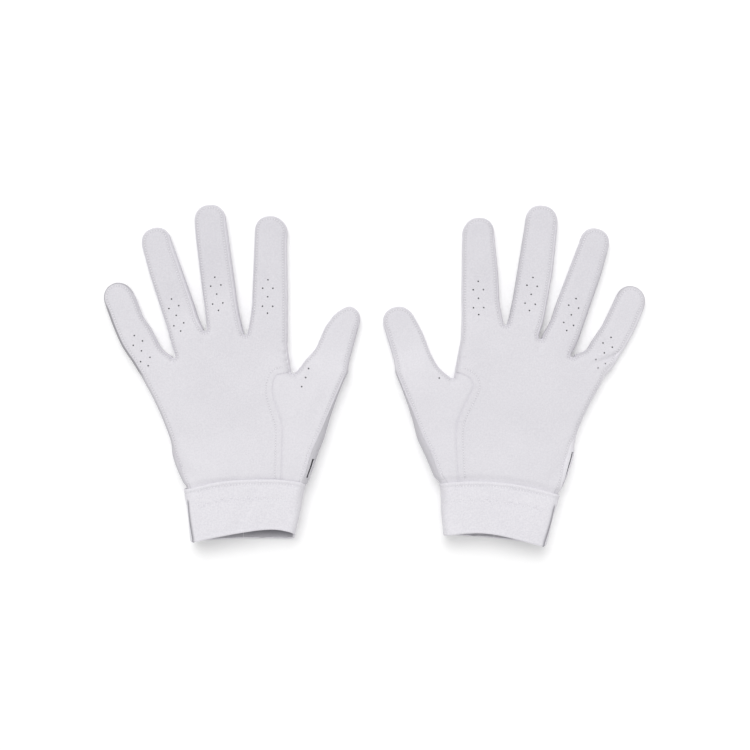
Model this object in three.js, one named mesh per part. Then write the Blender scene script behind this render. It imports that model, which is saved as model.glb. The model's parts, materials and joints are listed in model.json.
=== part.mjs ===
import * as THREE from 'three';

// A pair of batting gloves lying palm up, fingertips towards +Y. Lengths are in millimetres.
// Each glove is an empty shell of sewn panels, drawn once as a right-hand glove and mirrored.

// Hand
const palm_width = 80;
const palm_length = 96;
const pair_gap = 16.6;

// Fingers: width at the middle knuckle, and reach from there to the tip
const index_width = 23.2;
const middle_width = 23;
const ring_width = 22.3;
const little_width = 21.9;
const thumb_width = 22;
const index_reach = 54;
const middle_reach = 60;
const ring_reach = 60.5;
const little_reach = 49;
const thumb_reach = 31;

// How deep the empty glove stands, and how round its sides are
const finger_depth = 14;
const crotch_depth = 16.5;
const palm_depth = 20;
const cuff_depth = 22;
const finger_round = 9.8;
const palm_round = 12;

// Cuff
const cuff_height = 34;
const cuff_mouth = 68.6;
const cuff_arch = 5;
const cuff_rise = 1.4;

// Sheets and seams
const leather = 1.1;
const knit = 1.5;
const seam_gap = 0.3;
const hinge_gap = 0.5;
const side_inset = 1.3;
const thumb_strip = 5;
const crotch_width = 2.4;

// Wrist elastic, inside the palm side of the cuff
const elastic_thickness = 1;
const elastic_height = 18;
const elastic_width = 60;

// Wrist strap, across the back of the cuff
const strap_width = 23;
const strap_length = 54;
const strap_thickness = 1.4;
const strap_start = 24;
const strap_base_length = 9;
const strap_drop = 17.5;
const patch_thickness = 0.8;
const patch_length = 21;
const patch_width = 18;
const patch_corner = 3;
const vent_width = 9;
const vent_height = 22;

// Outlines of the open palm, as shares of the palm's width and length
const little_edge_shares = [
  [-0.494, -0.045], [-0.563, 0.073], [-0.612, 0.188], [-0.632, 0.3], [-0.738, 0.52], [-0.879, 0.743],
];
const thumb_edge_shares = [
  [0.5, -0.032], [0.553, 0.083], [0.613, 0.208], [0.679, 0.323],
  [0.75, 0.51], [0.813, 0.656], [0.866, 0.77],
];
const thumb_seam_shares = [
  [0.319, 0.005], [0.331, 0.27], [0.329, 0.44], [0.254, 0.6],
  [0.219, 0.672], [0.244, 0.724], [0.306, 0.754], [0.397, 0.766],
];
const lane_wrist_shares = [-0.494, -0.27, -0.05, 0.14, 0.319];

// Where each hand's fingers part and lie: crotches and middle knuckles as shares of the palm,
// and how far each finger leans, in degrees
const hands = {
  right: {
    crotch_shares: [[-0.594, 0.868], [-0.335, 1.057], [0.005, 1.028], [0.35, 0.966]],
    knuckle_shares: [[-0.846, 0.922], [-0.556, 1.167], [-0.219, 1.312], [0.205, 1.292], [0.744, 0.927]],
    leans: [-25.2, -16.4, -6.5, 0.6, 21.4],
    cuff_lean: 0.5,
  },
  left: {
    crotch_shares: [[-0.609, 0.875], [-0.339, 1.001], [-0.046, 1.096], [0.334, 0.966]],
    knuckle_shares: [[-0.876, 0.899], [-0.602, 1.164], [-0.269, 1.308], [0.169, 1.282], [0.752, 0.915]],
    leans: [-23.7, -16.6, -6.3, 0.8, 17],
    cuff_lean: 5.7,
  },
};
const finger_names = ['little', 'ring', 'middle', 'index', 'thumb'];
const finger_widths = [little_width, ring_width, middle_width, index_width, thumb_width];
const finger_reaches = [little_reach, ring_reach, middle_reach, index_reach, thumb_reach];

// Counts of rows along the glove
const palm_rows = 12;
const thumb_rows = 9;
const base_rows = 3;
const shaft_rows = 3;
const tip_angles = [24, 46, 66, 82];
const strip_rows = shaft_rows + 2;
const solid_cuff_rows = 2;
const wrist_fade_rows = 4;

// Shapes as shares
const column_shares = [0, 0.25, 0.5, 0.75, 1];
const cuff_edge_shares = [0.045, 0.12, 0.2, 0.32];
const elastic_column_shares = [0, 0.125, 0.25, 0.375, 0.5, 0.625, 0.75, 0.875, 1];
const tip_width_share = 0.9;
const tip_length_share = 0.5;
const tip_roundness = 2.3;
const base_bend_share = 0.45;
const thumb_strip_shares = [0.75, 0.85, 1, 1, 0.85, 0.6, 0.45, 0.35, 0.3, 0.28];
const tip_depth_share = 0.9;
const wrap_part_share = 0.3;
const thumb_corner_share = 1.2;
const strap_corner_share = 0.55;

// Where along the palm its lift, depth and roundness change, as shares of the way from wrist to crotches
const lift_fade_shares = [0.02, 0.36];
const deepest_palm_share = 0.5;
const crotch_fade_shares = [0.5, 1.05];
const round_fade_shares = [0.5, 0.8];
const strap_base_fade_shares = [0.1, 1];

// Knots nearer to each other than this are one knot
const knot_merge = 1e-4;

const stack_height = strap_thickness + 2 * patch_thickness + 3 * seam_gap;

const leather_finish = new THREE.MeshStandardMaterial({ color: 0xdddae0, roughness: 0.62, metalness: 0 });
const side_finish = new THREE.MeshStandardMaterial({ color: 0xcfccd3, roughness: 0.7, metalness: 0 });
const knit_finish = new THREE.MeshStandardMaterial({ color: 0xe6e4ea, roughness: 0.85, metalness: 0 });
const patch_finish = new THREE.MeshStandardMaterial({ color: 0xf0eff2, roughness: 0.95, metalness: 0 });

const radians = THREE.MathUtils.degToRad;
const mix = THREE.MathUtils.lerp;
const smooth = THREE.MathUtils.smoothstep;
const flat = (x, y) => new THREE.Vector2(x, y);
const palm_point = ([across, along]) => flat(across * palm_width, along * palm_length);

// Points of a smooth curve through hand-chosen ones, evenly spaced along it
function spaced(points, steps) {
  return new THREE.SplineCurve(points).getSpacedPoints(steps);
}

// A level says how the cross-section stands there: its half depth, its middle height
// and the roundness of its sides
function level(depth, lift, round) {
  return { half: depth / 2, middle: lift + depth / 2, round };
}

function palm_level(row) {
  const share = row / palm_rows;
  const lift = stack_height * (1 - smooth(share, ...lift_fade_shares));
  const depth = share < deepest_palm_share
    ? mix(cuff_depth, palm_depth, share / deepest_palm_share)
    : mix(palm_depth, crotch_depth, smooth(share, ...crotch_fade_shares));
  return level(depth, lift, mix(palm_round, finger_round, smooth(share, ...round_fade_shares)));
}

const cuff_level = level(cuff_depth, stack_height, palm_round);

// The cuff leans on the hand, so it has its own frame
function wrist_frame(hand) {
  const lean = radians(hand.cuff_lean);
  const across = flat(Math.cos(lean), Math.sin(lean));
  const up = flat(-Math.sin(lean), Math.cos(lean));
  return { across, up, origin: flat(0, cuff_rise) };
}

// A place in the cuff's own frame: x across the glove, y up towards the fingers
function wrist_place(frame, x, y) {
  return frame.origin.clone().addScaledVector(frame.across, x).addScaledVector(frame.up, y);
}

// A point of the wrist line, which arches across the glove
function wrist_point(frame, across_share) {
  const drop = cuff_arch * (2 * across_share) ** 2;
  return wrist_place(frame, across_share * palm_width, -drop);
}

// From 1 at the wrist line to nothing a few rows up the palm
function wrist_fade(row) {
  return Math.max(0, 1 - row / wrist_fade_rows);
}

// Moves the first points of a line from the hand's foot onto the leaning wrist line
function seat_on_wrist(points, target) {
  const shift = target.clone().sub(points[0]);
  return points.map((point, row) => point.clone().addScaledVector(shift, wrist_fade(row)));
}

// Rows of a finger from its crotches to its knuckle, and from its knuckle to its tip
function finger_rows(number, hand, left_foot, right_foot, foot_level) {
  const lean = radians(hand.leans[number]);
  const along = flat(Math.sin(lean), Math.cos(lean));
  const across = flat(Math.cos(lean), -Math.sin(lean));
  const knuckle = palm_point(hand.knuckle_shares[number]);
  const width = finger_widths[number];
  const reach = finger_reaches[number];
  const finger_level = level(finger_depth, 0, finger_round);

  function row(centre, half_width, row_level) {
    return {
      left: centre.clone().addScaledVector(across, -half_width),
      right: centre.clone().addScaledVector(across, half_width),
      left_in: across.clone(),
      right_in: across.clone().negate(),
      level: row_level,
    };
  }

  const base_end = knuckle.clone().addScaledVector(along, -hinge_gap / 2);
  const end_row = row(base_end, width / 2, finger_level);
  function side(foot, end) {
    const bend = end.clone().addScaledVector(along, -foot.distanceTo(end) * base_bend_share);
    return new THREE.QuadraticBezierCurve(foot, bend, end).getPoints(base_rows);
  }
  const left_side = side(left_foot, end_row.left);
  const right_side = side(right_foot, end_row.right);
  const base = left_side.map((left, step) => {
    const share = step / base_rows;
    const depth = mix(foot_level.half * 2, finger_depth, share);
    const lift = (foot_level.middle - foot_level.half) * (1 - share);
    return {
      left, right: right_side[step],
      level: level(depth, lift, mix(foot_level.round, finger_round, share)),
    };
  });
  base[base_rows] = end_row;

  function tip_row(distance, half_width) {
    const depth = mix(finger_depth, finger_depth * tip_depth_share, distance / reach);
    const centre = knuckle.clone().addScaledVector(along, distance);
    return row(centre, half_width, level(depth, 0, finger_round));
  }
  const cap = width * tip_length_share;
  const shaft = reach - cap;
  const tip = [];
  for (let step = 0; step <= shaft_rows; step += 1) {
    const share = step / shaft_rows;
    const distance = mix(hinge_gap / 2, shaft, share);
    const half_width = mix(width, width * tip_width_share, share) / 2;
    tip.push(tip_row(distance, half_width));
  }
  for (const angle of tip_angles) {
    const distance = shaft + cap * Math.sin(radians(angle)) ** (2 / tip_roundness);
    const half_width = width * tip_width_share / 2 * Math.cos(radians(angle)) ** (2 / tip_roundness);
    tip.push(tip_row(distance, half_width));
  }
  return { base, tip, along, across, knuckle };
}

// Unit vectors into the glove, square to an open line of points
function inward_of(points, turn) {
  return points.map((_, place) => {
    const before = points[Math.max(place - 1, 0)];
    const after = points[Math.min(place + 1, points.length - 1)];
    const way = after.clone().sub(before).normalize();
    return flat(way.y * turn, -way.x * turn);
  });
}

// A row of the cuff, some way down from the wrist line, over a share of the cuff's width
function cuff_row(wrist, drop, width_share) {
  const half_width = mix(palm_width, cuff_mouth, drop / cuff_height) / 2 * width_share;
  const sag = cuff_arch * width_share ** 2;
  return {
    left: wrist_place(wrist, -half_width, -sag - drop),
    right: wrist_place(wrist, half_width, -sag - drop),
    left_in: wrist.across.clone(),
    right_in: wrist.across.clone().negate(),
    level: cuff_level,
    bow: sag * 4,
    up: wrist.up,
  };
}

// The whole plan of one glove: its lanes of rows, its outline and its cuff
function glove_plan(hand) {
  const wrist = wrist_frame(hand);
  const feet = lane_wrist_shares.map((share) => wrist_point(wrist, share));
  const crotches = hand.crotch_shares.map(palm_point);
  const seam = seat_on_wrist(spaced(thumb_seam_shares.map(palm_point), thumb_rows), feet[4]);
  const seam_in = inward_of(seam, 1);
  const palm_seam = seam.map((point, row) => point.clone().addScaledVector(seam_in[row], -seam_gap / 2));
  const thumb_seam = seam.map((point, row) => point.clone().addScaledVector(seam_in[row], seam_gap / 2));
  const thumb_crotch = palm_seam[thumb_rows];
  const index_side = spaced([thumb_crotch, crotches[3]], palm_rows - thumb_rows);
  const little_edge = seat_on_wrist(spaced(little_edge_shares.map(palm_point), palm_rows), feet[0]);
  const thumb_line = spaced(thumb_edge_shares.map(palm_point), thumb_rows);
  const thumb_edge = seat_on_wrist(thumb_line, wrist_point(wrist, 0.5));
  const lines = [
    little_edge,
    spaced([feet[1], crotches[0]], palm_rows),
    spaced([feet[2], crotches[1]], palm_rows),
    spaced([feet[3], crotches[2]], palm_rows),
    [...palm_seam, ...index_side.slice(1)],
  ];
  const little_in = inward_of(little_edge, 1);
  const index_in = inward_of(lines[4], -1);
  const thumb_in = inward_of(thumb_edge, -1);
  const seam_way = seam[thumb_rows].clone().sub(seam[thumb_rows - 1]).normalize();

  // How much a lane's rows still follow the arch of the wrist line
  function bow(row, left_share, right_share) {
    return cuff_arch * (2 * (right_share - left_share)) ** 2 * wrist_fade(row);
  }

  const lanes = finger_names.map((name, number) => {
    const is_thumb = name === 'thumb';
    const left_line = is_thumb ? thumb_seam : lines[number];
    const right_line = is_thumb ? thumb_edge : lines[number + 1];
    const rows = left_line.map((left, row) => {
      const row_level = palm_level(row);
      const shares = is_thumb ? [lane_wrist_shares[4], 0.5] : lane_wrist_shares.slice(number, number + 2);
      return {
        left: left.clone(), right: right_line[row].clone(),
        level: row_level, bow: bow(row, ...shares), up: wrist.up,
      };
    });
    const last = rows[rows.length - 1];
    if (number > 0 && !is_thumb) {
      last.left.x += crotch_width / 2;
      last.left_in = flat(1, -1).normalize();
      last.left_corner = flat(1, -1);
    }
    if (number < 3) {
      last.right.x -= crotch_width / 2;
      last.right_in = flat(-1, -1).normalize();
      last.right_corner = flat(-1, -1);
    }
    const finger = finger_rows(number, hand, last.left, last.right, last.level);
    const base = finger.base.slice(1);
    const base_left = inward_of([last.left, ...base.map((row) => row.left)], 1);
    const base_right = inward_of([last.right, ...base.map((row) => row.right)], -1);
    base.slice(0, -1).forEach((row, step) => {
      row.left_in = base_left[step + 1];
      row.right_in = base_right[step + 1];
    });
    const tip_round = [...finger.tip.map((row) => row.left), ...finger.tip.map((row) => row.right).reverse()];
    const tip_in = inward_of(tip_round, 1);
    finger.tip.slice(1).forEach((row, step) => {
      row.left_in = tip_in[step + 1];
      row.right_in = tip_in[tip_round.length - 2 - step];
    });
    return { name, rows, base, tip: finger.tip, finger, is_thumb };
  });
  lanes[0].rows.forEach((row, place) => { row.left_in = little_in[place]; });
  lanes[3].rows.forEach((row, place) => { row.right_in = index_in[place]; });
  lanes[3].rows[thumb_rows].right_in = flat(-1, 0);
  lanes[3].rows[thumb_rows].right_corner = seam_way.clone().negate();
  lanes[4].rows.forEach((row, place) => {
    row.left_in = seam_in[place];
    row.right_in = thumb_in[place];
  });
  lanes[4].rows[thumb_rows].left_in = flat(1, -1).normalize();
  lanes[4].rows[thumb_rows].left_corner = seam_way.clone().multiplyScalar(-thumb_corner_share);

  const solid_height = cuff_height - vent_height;
  const cuff = [seam_gap, solid_height / 2, solid_height, solid_height + vent_height / 2, cuff_height]
    .map((drop) => cuff_row(wrist, drop, 1));

  const climb = (lane, first) => [
    ...lane.rows.slice(first).map((row) => row.left),
    ...lane.base.map((row) => row.left),
    ...lane.tip.map((row) => row.left),
  ];
  const descend = (lane, last) => [
    ...lane.tip.map((row) => row.right).reverse(),
    ...lane.base.map((row) => row.right).reverse(),
    ...lane.rows.slice(last).map((row) => row.right).reverse(),
  ];
  const outline = [
    ...cuff.map((row) => row.left).reverse(),
    ...climb(lanes[0], 0), ...descend(lanes[0], palm_rows),
    ...climb(lanes[1], palm_rows), ...descend(lanes[1], palm_rows),
    ...climb(lanes[2], palm_rows), ...descend(lanes[2], palm_rows),
    ...climb(lanes[3], palm_rows), ...descend(lanes[3], thumb_rows),
    ...climb(lanes[4], thumb_rows), ...descend(lanes[4], 0),
    ...cuff.map((row) => row.right),
  ];
  return { lanes, cuff, outline, wrist };
}

// How far a place lies inside the outline, and the way further in
function nearest(outline, place) {
  let best = Infinity;
  let foot = place;
  for (let step = 0; step + 1 < outline.length; step += 1) {
    const from = outline[step];
    const way = outline[step + 1].clone().sub(from);
    const share = place.clone().sub(from).dot(way) / Math.max(way.lengthSq(), Number.EPSILON);
    const here = from.clone().addScaledVector(way, THREE.MathUtils.clamp(share, 0, 1));
    const distance = here.distanceToSquared(place);
    if (distance < best) {
      best = distance;
      foot = here;
    }
  }
  return { distance: Math.sqrt(best), inward: place.clone().sub(foot).normalize() };
}

// A knot is a place on the glove's skin and the way out of it; side is 1 on the palm and -1 on the back
function skin_knot(plan, place, row_level, side) {
  const { distance, inward } = nearest(plan.outline, place);
  const angle = Math.acos(1 - Math.min(distance / row_level.round, 1));
  const slope = flat(Math.cos(angle) / row_level.round, Math.sin(angle) / row_level.half).normalize();
  return {
    place: new THREE.Vector3(place.x, place.y, row_level.middle + side * row_level.half * Math.sin(angle)),
    normal: new THREE.Vector3(-inward.x * slope.x, -inward.y * slope.x, side * slope.y),
  };
}

// A knot on the outline itself, at the middle of the glove's depth
function rim_knot(place, inward, row_level) {
  return {
    place: new THREE.Vector3(place.x, place.y, row_level.middle),
    normal: new THREE.Vector3(-inward.x, -inward.y, 0),
  };
}

// The knots of one row across a lane, from edge to edge, each edge drawn in by its own inset
function row_knots(plan, row, side, shares, left_inset, right_inset) {
  const left = row.left.clone().addScaledVector(row.left_corner ?? row.left_in ?? row.up, left_inset);
  const right = row.right.clone().addScaledVector(row.right_corner ?? row.right_in ?? row.up, right_inset);
  return shares.map((share) => {
    const place = left.clone().lerp(right, share);
    if (row.bow) {
      place.addScaledVector(row.up, row.bow * share * (1 - share));
    }
    return skin_knot(plan, place, row.level, side);
  });
}

// The back panels wrap up round an outer side to meet the front: knots past the outline
function wrap_knots(plan, row, edge, inset) {
  const way = row[`${edge}_corner`] ?? row[`${edge}_in`];
  const over = row[edge].clone().addScaledVector(way, inset - seam_gap);
  const part = row[edge].clone().addScaledVector(way, (inset - seam_gap) * wrap_part_share);
  return [
    rim_knot(row[edge], row[`${edge}_in`], row.level),
    skin_knot(plan, part, row.level, 1),
    skin_knot(plan, over, row.level, 1),
  ];
}

// A sheet collects rows of knots as quads and shares the knots that coincide
class Sheet {
  constructor() {
    this.knots = [];
    this.quads = [];
    this.known = new Map();
  }

  knot(item) {
    const key = item.place.toArray().map((value) => Math.round(value / knot_merge)).join(' ');
    if (!this.known.has(key)) {
      this.known.set(key, this.knots.length);
      this.knots.push(item);
    }
    return this.known.get(key);
  }

  band(lower, upper) {
    const from = lower.map((item) => this.knot(item));
    const to = upper.map((item) => this.knot(item));
    for (let step = 0; step + 1 < from.length; step += 1) {
      this.quads.push([from[step], from[step + 1], to[step + 1], to[step]]);
    }
  }

  rows(list) {
    list.slice(1).forEach((row, step) => this.band(list[step], row));
    return this;
  }

  // A closed solid between two depths below the skin
  solid(outer_depth, inner_depth) {
    const positions = [];
    for (const depth of [outer_depth, inner_depth]) {
      for (const { place, normal } of this.knots) {
        positions.push(...place.clone().addScaledVector(normal, -depth).toArray());
      }
    }
    const count = this.knots.length;
    const triangles = [];
    const edges = new Map();
    const outward = this.facing() > 0;
    for (const raw of this.quads) {
      const quad = outward ? raw : [...raw].reverse();
      const corners = quad.filter((knot, place) => knot !== quad[(place + 1) % 4]);
      for (let step = 1; step + 1 < corners.length; step += 1) {
        const [a, b, c] = [corners[0], corners[step], corners[step + 1]];
        triangles.push(a, b, c, c + count, b + count, a + count);
      }
      corners.forEach((from, place) => {
        const to = corners[(place + 1) % corners.length];
        if (edges.has(`${to} ${from}`)) {
          edges.delete(`${to} ${from}`);
        } else {
          edges.set(`${from} ${to}`, [from, to]);
        }
      });
    }
    for (const [from, to] of edges.values()) {
      triangles.push(to, from, from + count, to, from + count, to + count);
    }
    const geometry = new THREE.BufferGeometry();
    geometry.setAttribute('position', new THREE.Float32BufferAttribute(positions, 3));
    geometry.setIndex(triangles);
    geometry.computeVertexNormals();
    return geometry;
  }

  // More than zero where the quads turn the same way as the knots' normals
  facing() {
    return this.quads.reduce((sum, quad) => {
      const [first, second, third, fourth] = quad.map((knot) => this.knots[knot].place);
      const across = third.clone().sub(first);
      const over = fourth.clone().sub(second);
      return sum + across.cross(over).dot(this.knots[quad[0]].normal);
    }, 0);
  }
}

// Insets of a lane's two edges at a row, for its palm side or its back
function lane_insets(lane, row, section) {
  const outline_inset = side_inset + seam_gap / 2;
  if (lane.is_thumb) {
    const on_seam = section === 'rows' && row < thumb_rows;
    const strip = section === 'rows' ? thumb_strip_shares[row] : thumb_strip_shares[thumb_rows];
    return {
      left: on_seam ? 0 : outline_inset,
      right: Math.max(side_inset, thumb_strip * strip) + seam_gap / 2,
    };
  }
  if (section !== 'rows' || row === palm_rows) {
    return { left: outline_inset, right: outline_inset };
  }
  const on_index_side = lane.name === 'index' && row >= thumb_rows;
  return { left: lane.name === 'little' ? outline_inset : 0, right: on_index_side ? outline_inset : 0 };
}

// Which sides of a lane's row the back panel wraps round
function lane_wraps(lane, row, section) {
  const outer_row = section !== 'rows' || row >= thumb_rows;
  const past_strip = section === 'tip' && row >= strip_rows;
  return {
    left: past_strip || lane.name === 'little' || (lane.is_thumb && outer_row),
    right: past_strip || lane.is_thumb || (lane.name === 'index' && outer_row),
  };
}

function section_knots(plan, lane, section, side, skip = 0) {
  return lane[section].slice(skip).map((row, step) => {
    const place = step + skip;
    const inset = lane_insets(lane, place, section);
    const knots = row_knots(plan, row, side, column_shares, inset.left, inset.right);
    if (side > 0) {
      return { knots };
    }
    const wraps = lane_wraps(lane, place, section);
    return {
      knots,
      left_wrap: wraps.left
        ? [knots[0], ...wrap_knots(plan, row, 'left', inset.left)].reverse()
        : null,
      right_wrap: wraps.right ? [knots[4], ...wrap_knots(plan, row, 'right', inset.right)] : null,
    };
  });
}

function lay_rows(sheet, rows) {
  rows.slice(1).forEach((row, step) => {
    const before = rows[step];
    sheet.band(before.knots, row.knots);
    if (row.left_wrap && before.left_wrap) {
      sheet.band(before.left_wrap, row.left_wrap);
    }
    if (row.right_wrap && before.right_wrap) {
      sheet.band(before.right_wrap, row.right_wrap);
    }
  });
}

// The one-piece hand panels: the lanes side by side up to the crotches, then each finger to its knuckle
function hand_sheet(plan, lanes, side) {
  const sheet = new Sheet();
  let before = null;
  for (const lane of lanes) {
    const palm = section_knots(plan, lane, 'rows', side);
    const base = section_knots(plan, lane, 'base', side);
    lay_rows(sheet, [...palm, ...base]);
    if (before) {
      const foot = palm[palm_rows - 1].knots[0];
      sheet.band([foot, foot], [before[palm_rows].knots[4], palm[palm_rows].knots[0]]);
    }
    before = palm;
  }
  return sheet;
}

function tip_sheet(plan, lane, side) {
  const sheet = new Sheet();
  const rows = section_knots(plan, lane, 'tip', side);
  lay_rows(sheet, rows);
  if (side < 0) {
    sheet.rows([rows[rows.length - 1].knots, ...tip_end_rows(plan, lane)]);
  }
  return sheet;
}

// The back panel turns over the end of the finger too, up to the front's edge
function tip_end_rows(plan, lane) {
  const row = lane.tip[lane.tip.length - 1];
  const inset = lane_insets(lane, lane.tip.length - 1, 'tip');
  const ends = column_shares.map((share) => ({
    left: row.left.clone().lerp(row.right, share),
    left_in: row.left_in.clone().lerp(row.right_in, share).normalize(),
    level: row.level,
    inset: mix(inset.left, inset.right, share),
  }));
  const columns = ends.map((end) => wrap_knots(plan, end, 'left', end.inset));
  return [0, 1, 2].map((part) => columns.map((column) => column[part]));
}

// A fourchette's section: palm-side seam, outline, back seam
function strip_knots(plan, row, edge) {
  const way = row[`${edge}_corner`] ?? row[`${edge}_in`];
  const seam = row[edge].clone().addScaledVector(way, side_inset - seam_gap / 2);
  return [
    skin_knot(plan, seam, row.level, 1),
    rim_knot(row[edge], row[`${edge}_in`], row.level),
    skin_knot(plan, seam, row.level, -1),
  ];
}

// The fourchette of one crotch: down one finger's side and up the next one's
function fourchette_sheet(plan, lower_lane, upper_lane) {
  const down_side = [lower_lane.rows[palm_rows], ...lower_lane.base].reverse();
  const up_side = [upper_lane.rows[palm_rows], ...upper_lane.base];
  return new Sheet().rows([
    ...down_side.map((row) => strip_knots(plan, row, 'right')),
    ...up_side.map((row) => strip_knots(plan, row, 'left')),
  ]);
}

// The same strip past the knuckle, which stops short of the back panel's turned-over end
function strip_tip_sheet(plan, lane, edge) {
  const rows = lane.tip.slice(0, strip_rows + 1).map((row) => strip_knots(plan, row, edge));
  const last = rows[strip_rows];
  rows[strip_rows - 1].forEach((knot, column) => {
    const share = 1 - seam_gap / knot.place.distanceTo(last[column].place);
    last[column].place.lerpVectors(knot.place, last[column].place, share);
    last[column].normal.lerpVectors(knot.normal, last[column].normal, share);
  });
  return new Sheet().rows(rows);
}

// The cuff's two halves, which meet along the sides; the back one has a vent at its mouth
function cuff_sheet(plan, side) {
  const half_vent = vent_width / palm_width / 2;
  const left_half = [...cuff_edge_shares, 0.5 - half_vent];
  const columns = [...left_half, ...left_half.map((share) => 1 - share).reverse()];
  const vent_column = left_half.length;
  const rows = plan.cuff.map((row) => [
    rim_side(row, 'left', side, seam_gap / 2),
    ...row_knots(plan, row, side, columns, 0, 0),
    rim_side(row, 'right', side, seam_gap / 2),
  ]);
  const sheet = new Sheet();
  rows.slice(1).forEach((row, step) => {
    for (let column = 0; column + 1 < row.length; column += 1) {
      const in_vent = side < 0 && column === vent_column && step >= solid_cuff_rows;
      if (!in_vent) {
        sheet.band(rows[step].slice(column, column + 2), row.slice(column, column + 2));
      }
    }
  });
  return sheet;
}

// The elastic lies inside the palm side of the cuff, halfway down it
function elastic_sheet(plan) {
  const top = (cuff_height - elastic_height) / 2;
  const rows = [top, cuff_height / 2, top + elastic_height].map((drop) => {
    const row = cuff_row(plan.wrist, drop, elastic_width / palm_width);
    return row_knots(plan, row, 1, elastic_column_shares, 0, 0);
  });
  return new Sheet().rows(rows);
}

// The cuff's edge knots stand just off the middle height, on their own side
function rim_side(row, edge, side, off) {
  const knot = rim_knot(row[edge], row[`${edge}_in`], row.level);
  knot.place.z += side * off;
  return knot;
}

function piece(name, geometry, finish) {
  const mesh = new THREE.Mesh(geometry, finish);
  mesh.name = name;
  return mesh;
}

// A flat plate with rounded corners, centred on its own middle
function plate(width, length, thickness, corner) {
  const shape = new THREE.Shape();
  const [x, y] = [width / 2, length / 2];
  shape.moveTo(-x + corner, -y);
  shape.lineTo(x - corner, -y);
  shape.absarc(x - corner, -y + corner, corner, -Math.PI / 2, 0);
  shape.lineTo(x, y - corner);
  shape.absarc(x - corner, y - corner, corner, 0, Math.PI / 2);
  shape.lineTo(-x + corner, y);
  shape.absarc(-x + corner, y - corner, corner, Math.PI / 2, Math.PI);
  shape.lineTo(-x, -y + corner);
  shape.absarc(-x + corner, -y + corner, corner, Math.PI, Math.PI * 1.5);
  return new THREE.ExtrudeGeometry(shape, { depth: thickness, bevelEnabled: false, curveSegments: 3 });
}

// The strap's sewn base follows the cuff's skin from its seam down to the flat tongue
function strap_base_sheet(plan) {
  const { wrist } = plan;
  const rows = column_shares.map((along) => column_shares.map((share) => {
    const x = -strap_start - strap_base_length * (1 - share);
    const y = -strap_drop - cuff_arch + strap_width * (0.5 - along);
    const knot = skin_knot(plan, wrist_place(wrist, x, y), cuff_level, -1);
    const under_cuff = knot.place.z - seam_gap;
    knot.place.z = mix(under_cuff, strap_thickness, smooth(share, ...strap_base_fade_shares));
    knot.normal.set(0, 0, -1);
    return knot;
  }));
  return new Sheet().rows(rows);
}

// The strap's tongue: a flat band with a rounded free end
function strap_geometry() {
  const half = strap_width / 2;
  const corner = half * strap_corner_share;
  const shape = new THREE.Shape();
  shape.moveTo(0, -half);
  shape.lineTo(strap_length - corner, -half);
  shape.absarc(strap_length - corner, -half + corner, corner, -Math.PI / 2, 0);
  shape.lineTo(strap_length, half - corner);
  shape.absarc(strap_length - corner, half - corner, corner, 0, Math.PI / 2);
  shape.lineTo(0, half);
  return new THREE.ExtrudeGeometry(shape, { depth: strap_thickness, bevelEnabled: false, curveSegments: 5 });
}

function place_on_wrist(mesh, plan, hand, x, z) {
  const spot = wrist_place(plan.wrist, x, -strap_drop - cuff_arch);
  mesh.position.set(spot.x, spot.y, z);
  mesh.rotation.z = radians(hand.cuff_lean);
  return mesh;
}

function strap_pieces(prefix, plan, hand) {
  const tongue_start = -strap_start + seam_gap;
  const patch_x = tongue_start + strap_length - patch_length / 2 - patch_corner;
  const hook_z = strap_thickness + seam_gap;
  const loop_z = hook_z + patch_thickness + seam_gap;
  const patch = plate(patch_length, patch_width, patch_thickness, patch_corner);
  return [
    piece(`${prefix}_strap_base`, strap_base_sheet(plan).solid(-strap_thickness, 0), leather_finish),
    place_on_wrist(piece(`${prefix}_strap`, strap_geometry(), leather_finish), plan, hand, tongue_start, 0),
    place_on_wrist(piece(`${prefix}_hook_patch`, patch, patch_finish), plan, hand, patch_x, hook_z),
    place_on_wrist(piece(`${prefix}_loop_patch`, patch.clone(), patch_finish), plan, hand, patch_x, loop_z),
  ];
}

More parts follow.
